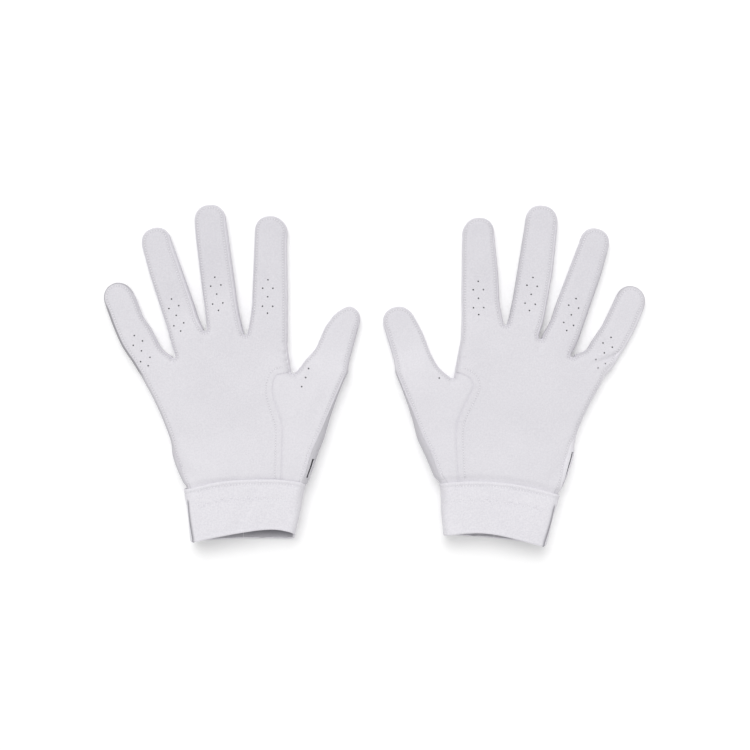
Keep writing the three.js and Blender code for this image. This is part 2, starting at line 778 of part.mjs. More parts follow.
function glove(prefix, hand) {
  const plan = glove_plan(hand);
  const [little, ring, middle, index, thumb] = plan.lanes;
  const fingers = [little, ring, middle, index];
  const elastic_top = knit + seam_gap;

  const group = new THREE.Group();
  group.add(
    piece(`${prefix}_palm_panel`, hand_sheet(plan, fingers, 1).solid(0, leather), leather_finish),
    piece(`${prefix}_back_panel`, hand_sheet(plan, fingers, -1).solid(0, leather), side_finish),
    piece(`${prefix}_thumb_panel`, hand_sheet(plan, [thumb], 1).solid(0, leather), leather_finish),
    piece(`${prefix}_thumb_back`, hand_sheet(plan, [thumb], -1).solid(0, leather), side_finish),
    piece(`${prefix}_cuff_front`, cuff_sheet(plan, 1).solid(0, knit), knit_finish),
    piece(`${prefix}_cuff_back`, cuff_sheet(plan, -1).solid(0, knit), knit_finish),
    piece(
      `${prefix}_wrist_elastic`,
      elastic_sheet(plan).solid(elastic_top, elastic_top + elastic_thickness),
      knit_finish,
    ),
    ...strap_pieces(prefix, plan, hand),
  );
  fingers.slice(1).forEach((upper, place) => {
    const lower = fingers[place];
    const name = `${prefix}_fourchette_${lower.name}_${upper.name}`;
    group.add(piece(name, fourchette_sheet(plan, lower, upper).solid(0, leather), side_finish));
    const lower_strip = `${prefix}_${lower.name}_side_${upper.name}`;
    const upper_strip = `${prefix}_${upper.name}_side_${lower.name}`;
    group.add(piece(lower_strip, strip_tip_sheet(plan, lower, 'right').solid(0, leather), side_finish));
    group.add(piece(upper_strip, strip_tip_sheet(plan, upper, 'left').solid(0, leather), side_finish));
  });
  for (const lane of plan.lanes) {
    const tip = tip_sheet(plan, lane, 1).solid(0, leather);
    const tip_back = tip_sheet(plan, lane, -1).solid(0, leather);
    group.add(
      piece(`${prefix}_${lane.name}_tip`, tip, leather_finish),
      piece(`${prefix}_${lane.name}_tip_back`, tip_back, side_finish),
    );
  }
  return group;
}

// How far a glove reaches on its thumb's side
function thumb_reach_of(group) {
  return new THREE.Box3().setFromObject(group).max.x;
}

const right_glove = glove('right', hands.right);
right_glove.position.x = -pair_gap / 2 - thumb_reach_of(right_glove);

const left_glove = glove('left', hands.left);
left_glove.position.x = pair_gap / 2 + thumb_reach_of(left_glove);
left_glove.scale.x = -1;

// The pair's origin is at the middle of its base
const pair = new THREE.Group();
pair.add(right_glove, left_glove);
const reach_of_pair = new THREE.Box3().setFromObject(pair);
const middle_of_pair = reach_of_pair.getCenter(new THREE.Vector3());
pair.position.set(-middle_of_pair.x, -middle_of_pair.y, -reach_of_pair.min.z);

const gloves = new THREE.Group();
gloves.add(pair);
export default gloves;
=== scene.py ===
import json
import math
import bpy
import numpy as np
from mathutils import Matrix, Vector
from mathutils.geometry import delaunay_2d_cdt
from mathutils.kdtree import KDTree


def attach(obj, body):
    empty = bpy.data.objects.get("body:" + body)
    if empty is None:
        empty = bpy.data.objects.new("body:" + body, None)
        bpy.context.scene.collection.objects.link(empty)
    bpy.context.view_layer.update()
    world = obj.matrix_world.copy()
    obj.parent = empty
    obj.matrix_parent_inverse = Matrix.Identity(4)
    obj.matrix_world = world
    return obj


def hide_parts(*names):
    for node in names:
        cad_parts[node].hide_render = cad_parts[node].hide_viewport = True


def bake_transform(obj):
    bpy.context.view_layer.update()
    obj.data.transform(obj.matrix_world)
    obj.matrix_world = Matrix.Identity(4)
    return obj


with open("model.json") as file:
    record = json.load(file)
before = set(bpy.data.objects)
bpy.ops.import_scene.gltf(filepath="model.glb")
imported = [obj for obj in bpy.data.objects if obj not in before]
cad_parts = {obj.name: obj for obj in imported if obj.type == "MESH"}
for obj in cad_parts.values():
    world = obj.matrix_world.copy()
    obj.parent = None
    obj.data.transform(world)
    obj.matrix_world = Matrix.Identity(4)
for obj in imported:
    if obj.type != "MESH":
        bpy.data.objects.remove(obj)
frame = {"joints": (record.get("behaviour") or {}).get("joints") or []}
bpy.ops.object.select_all(action="DESELECT")
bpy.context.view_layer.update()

# A pair of batting gloves lying palm up, cut and sewn from panels. The plan is in millimetres,
# drawn as a right-hand glove: x towards the thumb, y towards the fingertips, z up.
MM = 0.001

# measures
palm_width = 80
palm_length = 96
widths = {"little": 21.9, "ring": 22.3, "middle": 23, "index": 23.2, "thumb": 22}
reaches = {"little": 49, "ring": 60.5, "middle": 60, "index": 54, "thumb": 31}
finger_depth = 14
crotch_depth = 16.5
palm_depth = 20
cuff_depth = 22
finger_round = 9.8
palm_round = 12
cuff_height = 34
cuff_mouth = 68.6
cuff_arch = 5
cuff_rise = 1.4
stack_height = 3.9
crotch_radius = 1.2
strap_start = 24
strap_length = 54
strap_width = 23
strap_drop = 17.5
strap_base_length = 9
leather_thickness = 0.9
seam_reach = 1.6
stitch_inset = 1.5
stitch_pitch = 1.8
seam_stitch_inset = 4
hinge_height = 14
side_squareness = 3
side_share = 0.62
smooth_angle = 50
knit_thickness = 1.35
elastic_thickness = 0.9
strap_thickness = 1.3
strap_lift = 1.4
strap_root = -strap_start - strap_base_length
strap_end = -strap_start + strap_length
strap_corner = strap_width / 2 * 0.55
strap_stitch_inset = 1.8
pile_length = 21
pile_width = 18
panel_hem = 3.5
stitches_end = -2.5
tuck_depth = 0.85
front_step = 1.5
back_step = 1.8
outline_step = 1.2
crotch_step = 0.45
edge_rows = [0.35, 0.75, 1.15, 1.5, 1.9, 2.4, 3.1, 4.0, 5.0]
hole_radius = 0.52
hole_pattern = [(11.3, 0), (5.7, -3.4), (5.7, 3.4), (0, 0), (-6.3, -3.4), (-6.3, 3.4), (-10.9, 0)]
band_row = 3
zigzag_row = 12.5
vent_start = 12
cuff_rows = [(0, 3.6, 13), (4.2, 11, 12), (11.4, 13.6, 8), (14.4, 31, 24), (31.4, 34, 9)]
slot_columns = (4, 5)
seam_overlap = 1.6
notch_round = 2.4
knuckle_back = 7.5
knuckle_ahead = 9
finger_share = 0.75
finger_start = -9.5
base_seam = 7.4
strap_thread = 1.17
peel_back = 1.5
peel_ahead = 2.5
hook_levels = (1.43, 2.55)
loop_levels = (2.65, 3.8)

# how a spot is marked that lies far from any seam
unsewn = 9

# the hand's side edges from the wrist up, as shares of the palm's width and length
little_edge = [(-0.494, -0.045), (-0.563, 0.073), (-0.612, 0.188), (-0.632, 0.3), (-0.738, 0.52),
               (-0.879, 0.743)]
thumb_edge = [(0.5, -0.032), (0.553, 0.083), (0.613, 0.208), (0.679, 0.323), (0.75, 0.51),
              (0.813, 0.656), (0.866, 0.77)]

# shares of the palm's width at the wrist below the first three crotches
wrist_feet = [-0.27, -0.05, 0.14]

# how far inside the thumb's edge the front seam lies, from the wrist up
thumb_strip = [3.75, 4.25, 5, 5, 4.25, 3, 2.25, 1.75, 1.5, 1.4]

fingers = ["little", "ring", "middle", "index"]
strip_parts = ["little_right", "crotch_0", "ring_left", "ring_right", "crotch_1", "middle_left",
               "middle_right", "crotch_2", "index_left"]

# Crotches, knuckles and seams are shares of the palm's width and length, and leans are degrees. Square
# tips are how square a tip's left and right halves are. A slot is a stretch of the outline and where
# on it the slot starts and ends. Ease and little_strip pair a height with a way out or in, mouth and
# cuff_top are waves with height, place and width, and a crease is a line, its depth and its width.
# For some stretches of the outline one table gives a share of painted shade: those sides of the glove are
# painted darker, standing in for shade.
hands = {
    "right": {
        "crotches": [(-0.594, 0.868), (-0.335, 1.057), (0.005, 1.028), (0.35, 0.966)],
        "knuckles": {"little": (-0.846, 0.922), "ring": (-0.556, 1.167), "middle": (-0.219, 1.312),
                     "index": (0.205, 1.292), "thumb": (0.744, 0.927)},
        "leans": {"little": -25.2, "ring": -16.4, "middle": -6.5, "index": 0.6, "thumb": 21.4},
        "cuff_lean": 0.5,
        "left_insets": {"little": 1.6, "ring": 0.5, "middle": 0.5, "index": 0.5, "thumb": 0.5},
        "right_insets": {"little": 0.5, "ring": 1.8, "middle": 1.6, "index": 1.2, "thumb": 1.4},
        "square_tips": {"index": (2.5, 1.9), "thumb": (1.5, 2.3), "little": (2.2, 2)},
        "hole_shift": -1.1,
        "thumb_holes": [(42.6, 76.3), (40.7, 70.3), (38.1, 64.3)],
        "slot": ("thumb_edge", 0.77, 0.93),
        "soiled": {"little_left": 1, "little_cap": 0.7, "little_edge": 0.45, "thumb_right": 0.2,
                   "thumb_edge": 0.45},
        "notch_drop": 1.5,
        "ease": {
            "little_left": [(127, 0), (104, 1.5), (92, 1.5), (80, -1), (20, -1)],
            "little_right": [(122, 0), (112, -1.5), (104, 0)],
            "ring_left": [(140, 0.5), (104, -1.5), (86, 0)],
            "ring_right": [(162, -0.5), (118, 1), (106, 0.5)],
            "middle_left": [(162, 0.5), (118, -1), (106, -0.5)],
            "index_right": [(170, 1.5), (162, 0.5), (106, 0.5)],
            "thumb_left": [(116, -2), (104, 1), (90, 0.5), (81, 2), (76, 0)],
            "thumb_right": [(108, -0.5), (82, 1), (70, -1), (36, -1.5), (12, 0.5)],
        },
        "seam": [(0.303, 0.005), (0.31, 0.27), (0.308, 0.4), (0.25, 0.555), (0.229, 0.65), (0.256, 0.742),
                 (0.31, 0.76), (0.397, 0.766)],
        "cuff_sway": -1.6,
        "little_strip": [(-6, 1.6), (72, 1.6)],
        "mouth": [(4.2, 0.7, 0.55), (-1.3, -0.6, 0.6)],
        "cuff_top": [(2.4, 0.75, 0.5), (-1.3, -0.75, 0.3)],
        "creases": [
            ([(-52, 26), (-44, 12), (-31, -1)], 1.7, 4.5),
            ([(20, 88), (26, 86), (32, 86.5)], 0.8, 1.0),
            ([(23, 82.5), (27, 81), (32, 81.5)], 0.8, 0.9),
            ([(25, 77.5), (28, 77), (31, 77.5)], 0.5, 0.7),
            ([(38, 84), (44, 84), (50, 80)], 0.45, 2.4),
            ([(33.5, 74), (33, 70.5), (33, 67)], 0.6, 0.8),
            ([(46, 40), (50, 52), (57, 64)], 0.35, 2.8),
            ([(-30, 92), (-26, 97), (-25, 101)], 0.4, 1.6),
            ([(-51, 74), (-48.5, 78), (-48, 83)], 0.4, 1.6),
        ],
    },
    "left": {
        "crotches": [(-0.609, 0.875), (-0.339, 1.001), (-0.046, 1.096), (0.334, 0.966)],
        "knuckles": {"little": (-0.876, 0.899), "ring": (-0.602, 1.164), "middle": (-0.269, 1.308),
                     "index": (0.169, 1.282), "thumb": (0.752, 0.915)},
        "leans": {"little": -23.7, "ring": -16.6, "middle": -6.3, "index": 0.8, "thumb": 17},
        "cuff_lean": 5.7,
        "left_insets": {"little": 1.8, "ring": 1.8, "middle": 1.6, "index": 1.2, "thumb": 0.5},
        "right_insets": {"little": 0.5, "ring": 0.5, "middle": 0.5, "index": 0.5, "thumb": 1.4},
        "square_tips": {"index": (2.4, 2), "thumb": (2, 2.3), "little": (2.2, 2)},
        "hole_shift": 1.0,
        "thumb_holes": [(40.7, 70)],
        "slot": ("little_edge", 0.07, 0.36),
        "soiled": {"little_cap": 0.4, "thumb_edge": 0.4, "middle_right": 0.3, "ring_left": 0.3},
        "notch_drop": 4.5,
        "ease": {
            "little_left": [(106, 2), (92, 0.5), (81, -2), (68, 0), (36, -1), (22, 0)],
            "little_right": [(126, -1.5), (106, -1.5), (92, 1)],
            "ring_left": [(140, 0.5), (104, -2), (90, -0.5)],
            "ring_right": [(162, -1), (116, 1.5), (108, 1)],
            "middle_left": [(175, 1.5), (142, 1), (120, -1), (108, -0.5)],
            "middle_right": [(168, -0.5), (118, 1), (108, 0)],
            "index_left": [(165, 0), (140, 1.5), (114, 1.5), (108, 0)],
            "index_right": [(122, 0.5), (90, -0.5)],
            "thumb_left": [(116, -1), (100, 1.5), (84, 1.5), (77, 0)],
            "thumb_right": [(114, 2.5), (87, 1), (66, 0.5), (40, 0.5), (22, 2), (7, 2)],
        },
        "seam": [(0.345, 0.005), (0.355, 0.12), (0.364, 0.37), (0.32, 0.494), (0.25, 0.61), (0.222, 0.672),
                 (0.244, 0.724), (0.306, 0.754), (0.397, 0.766)],
        "cuff_sway": 0,
        "little_strip": [(-6, 2), (2, 2.7), (6, 3.7), (12, 4.8), (20, 4.7), (24, 4.1), (28.5, 1.4),
                         (33, 0.8), (72, 1)],
        "mouth": [(-2.2, -0.5, 0.65), (-0.7, 0.7, 0.4)],
        "cuff_top": [(-1.6, 0, 2)],
        "creases": [
            ([(-59, 78.5), (-70, 82), (-83, 88)], 1.3, 1.5),
            ([(-46, 22), (-40, 10), (-30, -2)], 0.9, 4.5),
            ([(22, 84), (27, 82.5), (31, 83)], 0.6, 0.9),
            ([(-44, 80), (-47, 84), (-48, 88)], 0.5, 1.6),
            ([(-24, 86), (-27, 92), (-27, 96)], 0.5, 1.6),
            ([(33.5, 68.5), (33, 65.5), (33, 62.5)], 0.4, 0.8),
        ],
    },
}


# plane curves
def smooth(value, low, high):
    share = np.clip((value - low) / (high - low), 0, 1)
    return share * share * (3 - 2 * share)


def blended(low, high, share):
    return low + (high - low) * share


def run_along(points):
    steps = np.linalg.norm(np.diff(points, axis=0), axis=1)
    return np.concatenate([[0], np.cumsum(steps)])


def at_marks(marks, run, points):
    """The points of a line at these lengths along it."""
    return np.stack([np.interp(marks, run, points[:, axis]) for axis in range(points.shape[1])], axis=1)


def respaced(points, count):
    run = run_along(points)
    return at_marks(np.linspace(0, run[-1], count + 1), run, points)


def measured(points, step):
    return respaced(points, max(1, round(run_along(points)[-1] / step)))


def spline(knots, count):
    knots = np.array(knots, float)
    last = len(knots) - 1
    marks = np.linspace(0, last, 40 * last + 1)
    at = np.minimum(marks.astype(int), last - 1)
    share = (marks - at)[:, None]
    before, here, there, after = (knots[np.clip(at + step, 0, last)] for step in (-1, 0, 1, 2))
    leave, arrive = (there - before) / 2, (after - here) / 2
    curve = (2 * here - 2 * there + leave + arrive) * share ** 3
    curve += (3 * there - 3 * here - 2 * leave - arrive) * share ** 2 + leave * share + here
    return respaced(curve, count)


def bent(start, bend, end, count):
    share = np.linspace(0, 1, count + 1)[:, None]
    return (1 - share) ** 2 * start + 2 * share * (1 - share) * bend + share ** 2 * end


def in_palm(pairs):
    return np.array(pairs, float) * (palm_width, palm_length)


def sides_of(points, closed=False):
    """Unit vectors to the right of the way along a line of points."""
    if closed:
        way = np.roll(points, -1, 0) - np.roll(points, 1, 0)
    else:
        way = np.gradient(points, axis=0)
    way /= np.linalg.norm(way, axis=1, keepdims=True)
    return np.stack([way[:, 1], -way[:, 0]], axis=1)


class Line:
    """A line of points that can say how far any spot lies from it."""

    def __init__(self, points, closed=False):
        self.points = points
        self.closed = closed
        ends = np.vstack([points, points[:1]]) if closed else points
        self.run = run_along(ends)
        self.tree = KDTree(len(points))
        for place, (x, y) in enumerate(points):
            self.tree.insert((x, y, 0), place)
        self.tree.balance()

    def nearest(self, spots):
        """Distance, foot on the line and place along it, for each spot."""
        count = len(self.points)
        found = np.fromiter((self.tree.find((x, y, 0))[1] for x, y in spots), int, len(spots))
        distance = np.full(len(spots), np.inf)
        foot = np.zeros((len(spots), 2))
        place = np.zeros(len(spots))
        for step in (-1, 0):
            first = found + step
            if self.closed:
                first = first % count
            else:
                first = np.clip(first, 0, count - 2)
            start, end = self.points[first], self.points[(first + 1) % count]
            way = end - start
            share = np.clip(((spots - start) * way).sum(1) / (way ** 2).sum(1), 0, 1)
            here = start + way * share[:, None]
            away = np.linalg.norm(spots - here, axis=1)
            nearer = away < distance
            distance[nearer] = away[nearer]
            foot[nearer] = here[nearer]
            place[nearer] = (first + share)[nearer]
        return distance, foot, place

    def along(self, place):
        return np.interp(place, np.arange(len(self.run)), self.run)


# a cut piece
def renumbered(faces, start):
    return [tuple(knot + start for knot in face) for face in faces]


class Cut:
    """A piece as cut: its points on the outer skin, its faces, and each point's marks: how far it lies
    from the stitches, from the sewn edge, and along that edge, and how much painted shade darkens it."""

    def __init__(self, points, faces, marks):
        self.points = np.asarray(points, float)
        self.faces = [tuple(int(knot) for knot in face) for face in faces]
        self.marks = np.asarray(marks, float)

    def joined(self, *others):
        """This piece and others as one, with shared points where they coincide."""
        points = np.vstack([self.points] + [other.points for other in others])
        marks = np.vstack([self.marks] + [other.marks for other in others])
        faces = list(self.faces)
        count = len(self.points)
        for other in others:
            faces += renumbered(other.faces, count)
            count += len(other.points)
        _, first, same = np.unique(np.round(points, 4), axis=0, return_index=True, return_inverse=True)
        same = same.reshape(-1)
        faces = [tuple(same[knot] for knot in face) for face in faces]
        return Cut(points[first], faces, marks[first])

    def part(self, wanted):
        """The faces that are wanted, and only their points."""
        faces = [face for face, keep in zip(self.faces, wanted) if keep]
        used = np.unique(np.concatenate([np.array(face) for face in faces]))
        new = np.full(len(self.points), -1)
        new[used] = np.arange(len(used))
        cut = Cut(self.points[used], [[new[knot] for knot in face] for face in faces], self.marks[used])
        cut.lay = self.lay[used]
        return cut

    def middles(self):
        return np.array([self.points[list(face)].mean(0) for face in self.faces])

    def find_lay(self):
        """The way out of the skin at each point, kept so that split pieces still shade as one."""
        lay = np.zeros_like(self.points)
        for size, (here, there, start, end) in ((3, (0, 1, 0, 2)), (4, (0, 2, 1, 3))):
            faces = np.array([face for face in self.faces if len(face) == size])
            if len(faces) == 0:
                continue
            corners = self.points[faces]
            turn = np.cross(corners[:, there] - corners[:, here], corners[:, end] - corners[:, start])
            for corner in range(size):
                np.add.at(lay, faces[:, corner], turn)
        length = np.linalg.norm(lay, axis=1, keepdims=True)
        self.lay = lay / np.maximum(length, 1e-9)
        return self


def grid_faces(count, width):
    """The faces of a grid of points that are numbered row by row."""
    corners = np.arange(count * width).reshape(count, width)
    return np.stack([corners[:-1, :-1], corners[1:, :-1], corners[1:, 1:], corners[:-1, 1:]], -1)


def spread(border, step):
    """Spots for a panel's points: its edge, rows along it, and a lattice further in."""
    loop = border.points
    inward = sides_of(loop, closed=True)
    rings = []
    for off in edge_rows:
        ring = loop + inward * off
        away, _, _ = border.nearest(ring)
        rings.append(ring[away > off * 0.97])
    low, high = loop.min(0), loop.max(0)
    lattice = []
    for row, y in enumerate(np.arange(low[1], high[1], step * 0.866)):
        x = np.arange(low[0] + (row % 2) * step / 2, high[0], step)
        lattice.append(np.column_stack([x, np.full(len(x), y)]))
    lattice = np.vstack(lattice)
    away, foot, place = border.nearest(lattice)
    inside = ((lattice - foot) * inward[place.astype(int) % len(loop)]).sum(1) > 0
    lattice = lattice[inside & (away > edge_rows[-1] + step * 0.5)]
    return np.vstack([loop, lattice] + rings)


def punched(spots, holes, edge_count):
    """The spots with two rings of points round each hole, and the edges of the holes."""
    turns = np.radians(np.arange(0, 360, 30))
    circle = np.stack([np.cos(turns), np.sin(turns)], 1) * hole_radius
    rings, edges = [], []
    for hole in holes:
        keep = np.linalg.norm(spots - hole, axis=1) > 0.85
        keep[:edge_count] = True
        spots = spots[keep]
        rings.append(np.vstack([hole + circle, hole + circle * 1.5]))
    size = len(circle)
    for number in range(len(rings)):
        start = len(spots) + number * 2 * size
        edges += [(start + turn, start + (turn + 1) % size) for turn in range(size)]
    return np.vstack([spots] + rings), edges


# finishes
class Flow:
    """A shader value that can be reckoned with as a number."""

    def __init__(self, nodes, socket):
        self.nodes = nodes
        self.socket = socket

    def math(self, operation, *others):
        return self.nodes.node("ShaderNodeMath", {"operation": operation}, dict(enumerate([self, *others])))

    def __add__(self, other):
        return self.math("ADD", other)

    __radd__ = __add__

    def __mul__(self, other):
        return self.math("MULTIPLY", other)

    __rmul__ = __mul__

    def __sub__(self, other):
        return self.math("SUBTRACT", other)

    def __rsub__(self, other):
        return (self * -1) + other

    def sine(self):
        return self.math("SINE")

    def near(self, middle, spread):
        """1 at the middle value, fading to nothing a spread away on either side."""
        away = (self - middle).math("ABSOLUTE")
        return (1 - away * (1 / spread)).math("MAXIMUM", 0)


class Nodes:
    """A tree of shader nodes."""

    def __init__(self, tree):
        self.tree = tree
        tree.nodes.clear()

    def node(self, kind, settings, inputs, output=0):
        made = self.tree.nodes.new(kind)
        for key, value in settings.items():
            setattr(made, key, value)
        for key, value in inputs.items():
            self.feed(made.inputs[key], value)
        return Flow(self, made.outputs[output])

    def feed(self, socket, value):
        if isinstance(value, Flow):
            self.tree.links.new(value.socket, socket)
        else:
            socket.default_value = value

    def ends(self, kind, flow):
        self.feed(self.tree.nodes.new(kind).inputs["Surface"], flow)


class Finish(Nodes):
    """A material drawn with nodes."""

    def __init__(self, name, roughness, **plain):
        self.material = bpy.data.materials.new(name)
        self.material.use_nodes = True
        super().__init__(self.material.node_tree)
        self.shader = self.tree.nodes.new("ShaderNodeBsdfPrincipled")
        self.shader.inputs["Roughness"].default_value = roughness
        for key, value in plain.items():
            self.shader.inputs[key.replace("_", " ")].default_value = value
        self.ends("ShaderNodeOutputMaterial", Flow(self, self.shader.outputs[0]))
        self.place = self.node("ShaderNodeTexCoord", {}, {}, "Object")

    def noise(self, scale, detail=2, where=None):
        return self.node("ShaderNodeTexNoise", {},
                         {"Vector": where or self.place, "Scale": scale, "Detail": detail}, "Fac")

    def cells(self, scale):
        return self.node("ShaderNodeTexVoronoi", {}, {"Vector": self.place, "Scale": scale}, "Distance")

    def stretched(self, x, y, z):
        return self.node("ShaderNodeMapping", {}, {"Vector": self.place, "Scale": (x, y, z)})

    def measure(self, name):
        return self.node("ShaderNodeAttribute", {"attribute_name": name}, {}, "Fac")

    def mixed(self, share, low, high):
        return self.node("ShaderNodeMix", {"data_type": "RGBA"}, {0: share, 6: low, 7: high}, 2)

    def coloured(self, colour):
        self.feed(self.shader.inputs["Base Color"], colour)

    def roughened(self, value):
        self.feed(self.shader.inputs["Roughness"], value)

    def raised(self, *layers):
        """Bumps, each a height from 0 to 1 and its real height in millimetres."""
        normal = None
        for height, size in layers:
            inputs = {"Height": height, "Strength": 1, "Distance": size * MM}
            if normal:
                inputs["Normal"] = normal
            normal = self.node("ShaderNodeBump", {}, inputs)
        self.feed(self.shader.inputs["Normal"], normal)


def linear(red, green, blue):
    values = [value / 255 for value in (red, green, blue)]
    return tuple(value / 12.92 if value <= 0.04045 else ((value + 0.055) / 1.055) ** 2.4
                 for value in values) + (1,)


def leather(name, light, dark, roughness):
    finish = Finish(name, roughness)
    from_stitches, from_edge = finish.measure("from_stitches"), finish.measure("from_edge")
    run = finish.measure("seam_run")
    cloud = finish.noise(24, 3)
    fibre = finish.noise(1, 4, finish.stretched(900, 260, 900))
    grain = finish.cells(1500)
    pores = finish.noise(2600, 2)
    pucker = (run * (2 * math.pi / stitch_pitch)).sine() * 0.5 + 0.5
    seam = from_stitches.near(0, 1.3)
    groove = from_stitches.near(0, 0.6)
    fold = from_edge.near(0, 1)
    up = finish.node("ShaderNodeSeparateXYZ", {}, {0: finish.place}, "Y")
    fingers_share = ((up - 0.01) * 11).math("MAXIMUM", 0).math("MINIMUM", 1)
    mottle = (finish.noise(1000, 2) - 0.5) * 1.5
    # painted shade: fold darkens the leather at its sewn edges, and fingers_share darkens it towards the
    # fingertips
    shade = cloud * 0.7 + fibre * 0.3 + mottle + fold * 0.1 + fingers_share * 0.45 - 0.15
    plain = finish.mixed(shade, light, dark)
    # painted shade: the leather along each row of stitches is painted darker, as shade in its groove
    shaded_groove = finish.mixed(groove * 0.3, plain, linear(160, 158, 165))
    # painted shade: the listed edges are painted darker, standing in for the shade on those sides
    finish.coloured(finish.mixed(finish.measure("soiled") * 0.8, shaded_groove, linear(138, 136, 142)))
    finish.roughened(cloud * 0.12 + grain * 0.1 + (roughness - 0.1))
    finish.raised((grain, 0.05), (pores, 0.03), (fibre, 0.05), (pucker * seam, 0.16))
    return finish.material


def knit(name, light, dark, inner_shade=None):
    """Ribbed knit; on a lining, painted shade darkens it the deeper it lies inside the cuff."""
    finish = Finish(name, 0.85, Sheen_Weight=0.15, Sheen_Roughness=0.5)
    across, down = finish.measure("cloth_across"), finish.measure("cloth_down")
    rib = (across * (2 * math.pi / 1.1)).sine() * 0.5 + 0.5
    loop = (down * (2 * math.pi / 0.9) + rib * 1.6).sine() * 0.5 + 0.5
    fuzz = finish.noise(1800, 3)
    cloud = finish.noise(30, 3)
    mottle = (finish.noise(900, 2) - 0.5) * 2.4
    groove = finish.measure("from_stitches").near(0, 0.7)
    shade = cloud * 0.7 + fuzz * 0.3 + mottle + (1 - rib) * 0.15 - 0.1
    plain = finish.mixed(shade, light, dark)
    if inner_shade:
        plain = finish.mixed((finish.measure("inside_cuff") * 0.2).math("MINIMUM", 1), plain, inner_shade)
    # painted shade: the knit along each row of stitches is painted darker, as shade in its groove
    shaded_groove = finish.mixed(groove * 0.2, plain, linear(176, 174, 181))
    # painted shade: a dark line where the cuff's cloths part at its side
    finish.coloured(finish.mixed(finish.measure("creased"), shaded_groove, linear(150, 148, 155)))
    finish.roughened(fuzz * 0.1 + 0.8)
    finish.raised((rib, 0.045), (loop, 0.04), (fuzz, 0.06))
    return finish.material


def thread(name, light, dark):
    finish = Finish(name, 0.6)
    twist = finish.noise(700, 1) * 0.5 + finish.noise(4000, 1) * 0.5
    finish.coloured(finish.mixed(twist, light, dark))
    finish.raised((twist, 0.05))
    return finish.material


def pile(name, light, dark, scale, height):
    finish = Finish(name, 0.95)
    tufts = finish.cells(scale)
    fuzz = finish.noise(scale * 1.5, 3)
    finish.coloured(finish.mixed(tufts * 0.8 + fuzz * 0.2, light, dark))
    finish.roughened(fuzz * 0.08 + 0.9)
    finish.raised((1 - tufts, height), (fuzz, height / 3))
    return finish.material


palm_leather = leather("palm_leather", linear(227, 225, 230), linear(213, 211, 217), 0.62)
thumb_leather = leather("thumb_leather", linear(228, 226, 231), linear(215, 213, 219), 0.62)
# Side and back leather are painted lighter than the palm's: painted light that makes up for the shade on the
# glove's steep sides.
side_leather = leather("side_leather", linear(238, 236, 241), linear(226, 224, 230), 0.68)
back_leather = leather("back_leather", linear(236, 234, 239), linear(224, 222, 228), 0.66)
cuff_knit = knit("cuff_knit", linear(236, 234, 239), linear(225, 223, 229))
# painted shade: the lining is painted darker than the cuff's knit, and darker still deeper inside the cuff
shaded_cuff_lining = knit("shaded_cuff_lining", linear(228, 226, 231), linear(216, 214, 220), linear(160, 158, 165))
band_knit = knit("band_knit", linear(222, 220, 226), linear(208, 206, 213))
sewing_thread = thread("sewing_thread", linear(249, 248, 251), linear(237, 235, 240))
hook_pile = pile("hook_pile", linear(228, 227, 230), linear(196, 195, 199), 900, 0.3)
loop_pile = pile("loop_pile", linear(236, 235, 238), linear(212, 211, 215), 700, 0.35)


# making pieces
def only(piece):
    bpy.ops.object.select_all(action="DESELECT")
    piece.select_set(True)
    bpy.context.view_layer.objects.active = piece


def finished(piece, modifier, **settings):
    """Adds a modifier and applies it."""
    only(piece)
    made = piece.modifiers.new(modifier.title(), modifier)
    for key, value in settings.items():
        setattr(made, key, value)
    bpy.ops.object.modifier_apply(modifier=made.name)


def shaded(piece, angle=smooth_angle):
    only(piece)
    bpy.ops.object.shade_smooth_by_angle(angle=math.radians(angle))


def thickened(piece, thickness, **settings):
    """Gives a piece its real thickness, inwards from its outer skin."""
    finished(piece, "SOLIDIFY", thickness=thickness * MM, offset=-1, **settings)
    shaded(piece)


def laid(name, points, faces, finish, **measures):
    """A mesh from points in millimetres in the frame, with its finish and its own measures."""
    mesh = bpy.data.meshes.new(name)
    mesh.from_pydata((np.asarray(points) * MM).tolist(), [], faces)
    piece = bpy.data.objects.new(name, mesh)
    bpy.context.scene.collection.objects.link(piece)
    for key, values in measures.items():
        values = np.asarray(values, np.float32)
        kind = "FLOAT_VECTOR" if values.ndim == 2 else "FLOAT"
        made = mesh.attributes.new(key, kind, "POINT")
        made.data.foreach_set("vector" if values.ndim == 2 else "value", values.ravel())
    mesh.materials.append(finish)
    return piece


def read(data, name, kind=np.float32, wide=3):
    """What a mesh's data say, item by item."""
    values = np.zeros(len(data) * wide, kind)
    data.foreach_get(name, values)
    return values.reshape(-1, wide) if wide > 1 else values


def keep_lay(piece):
    """Gives the outer and inner skins the way out that they had before the pieces were parted."""
    mesh = piece.data
    corner = read(mesh.corner_normals, "vector")
    lay = read(mesh.attributes["lay"].data, "vector")[read(mesh.loops, "vertex_index", np.int32, 1)]
    sizes = read(mesh.polygons, "loop_total", np.int32, 1)
    flat = np.repeat(read(mesh.polygons, "normal"), sizes, axis=0)
    agree = (flat * lay).sum(1)
    corner[agree > 0.6] = lay[agree > 0.6]
    corner[agree < -0.6] = -lay[agree < -0.6]
    mesh.normals_split_custom_set(corner.tolist())
    mesh.attributes.remove(mesh.attributes["lay"])


def sewn(name, cut, finish, thickness=leather_thickness):
    """A cut piece as real leather."""
    from_stitches, from_edge, run, soiled = cut.marks.T
    piece = laid(name, cut.points, cut.faces, finish, from_stitches=from_stitches, from_edge=from_edge,
                 seam_run=run, soiled=soiled, lay=cut.lay)
    thickened(piece, thickness)
    keep_lay(piece)
    return piece


# the rounded sides of the empty glove
def turned(share):
    """How far round its side a spot lies: a quarter turn where the glove is flat."""
    return np.arccos(np.clip(1 - np.minimum(share, 1), 0, 1) ** (side_squareness / 2))


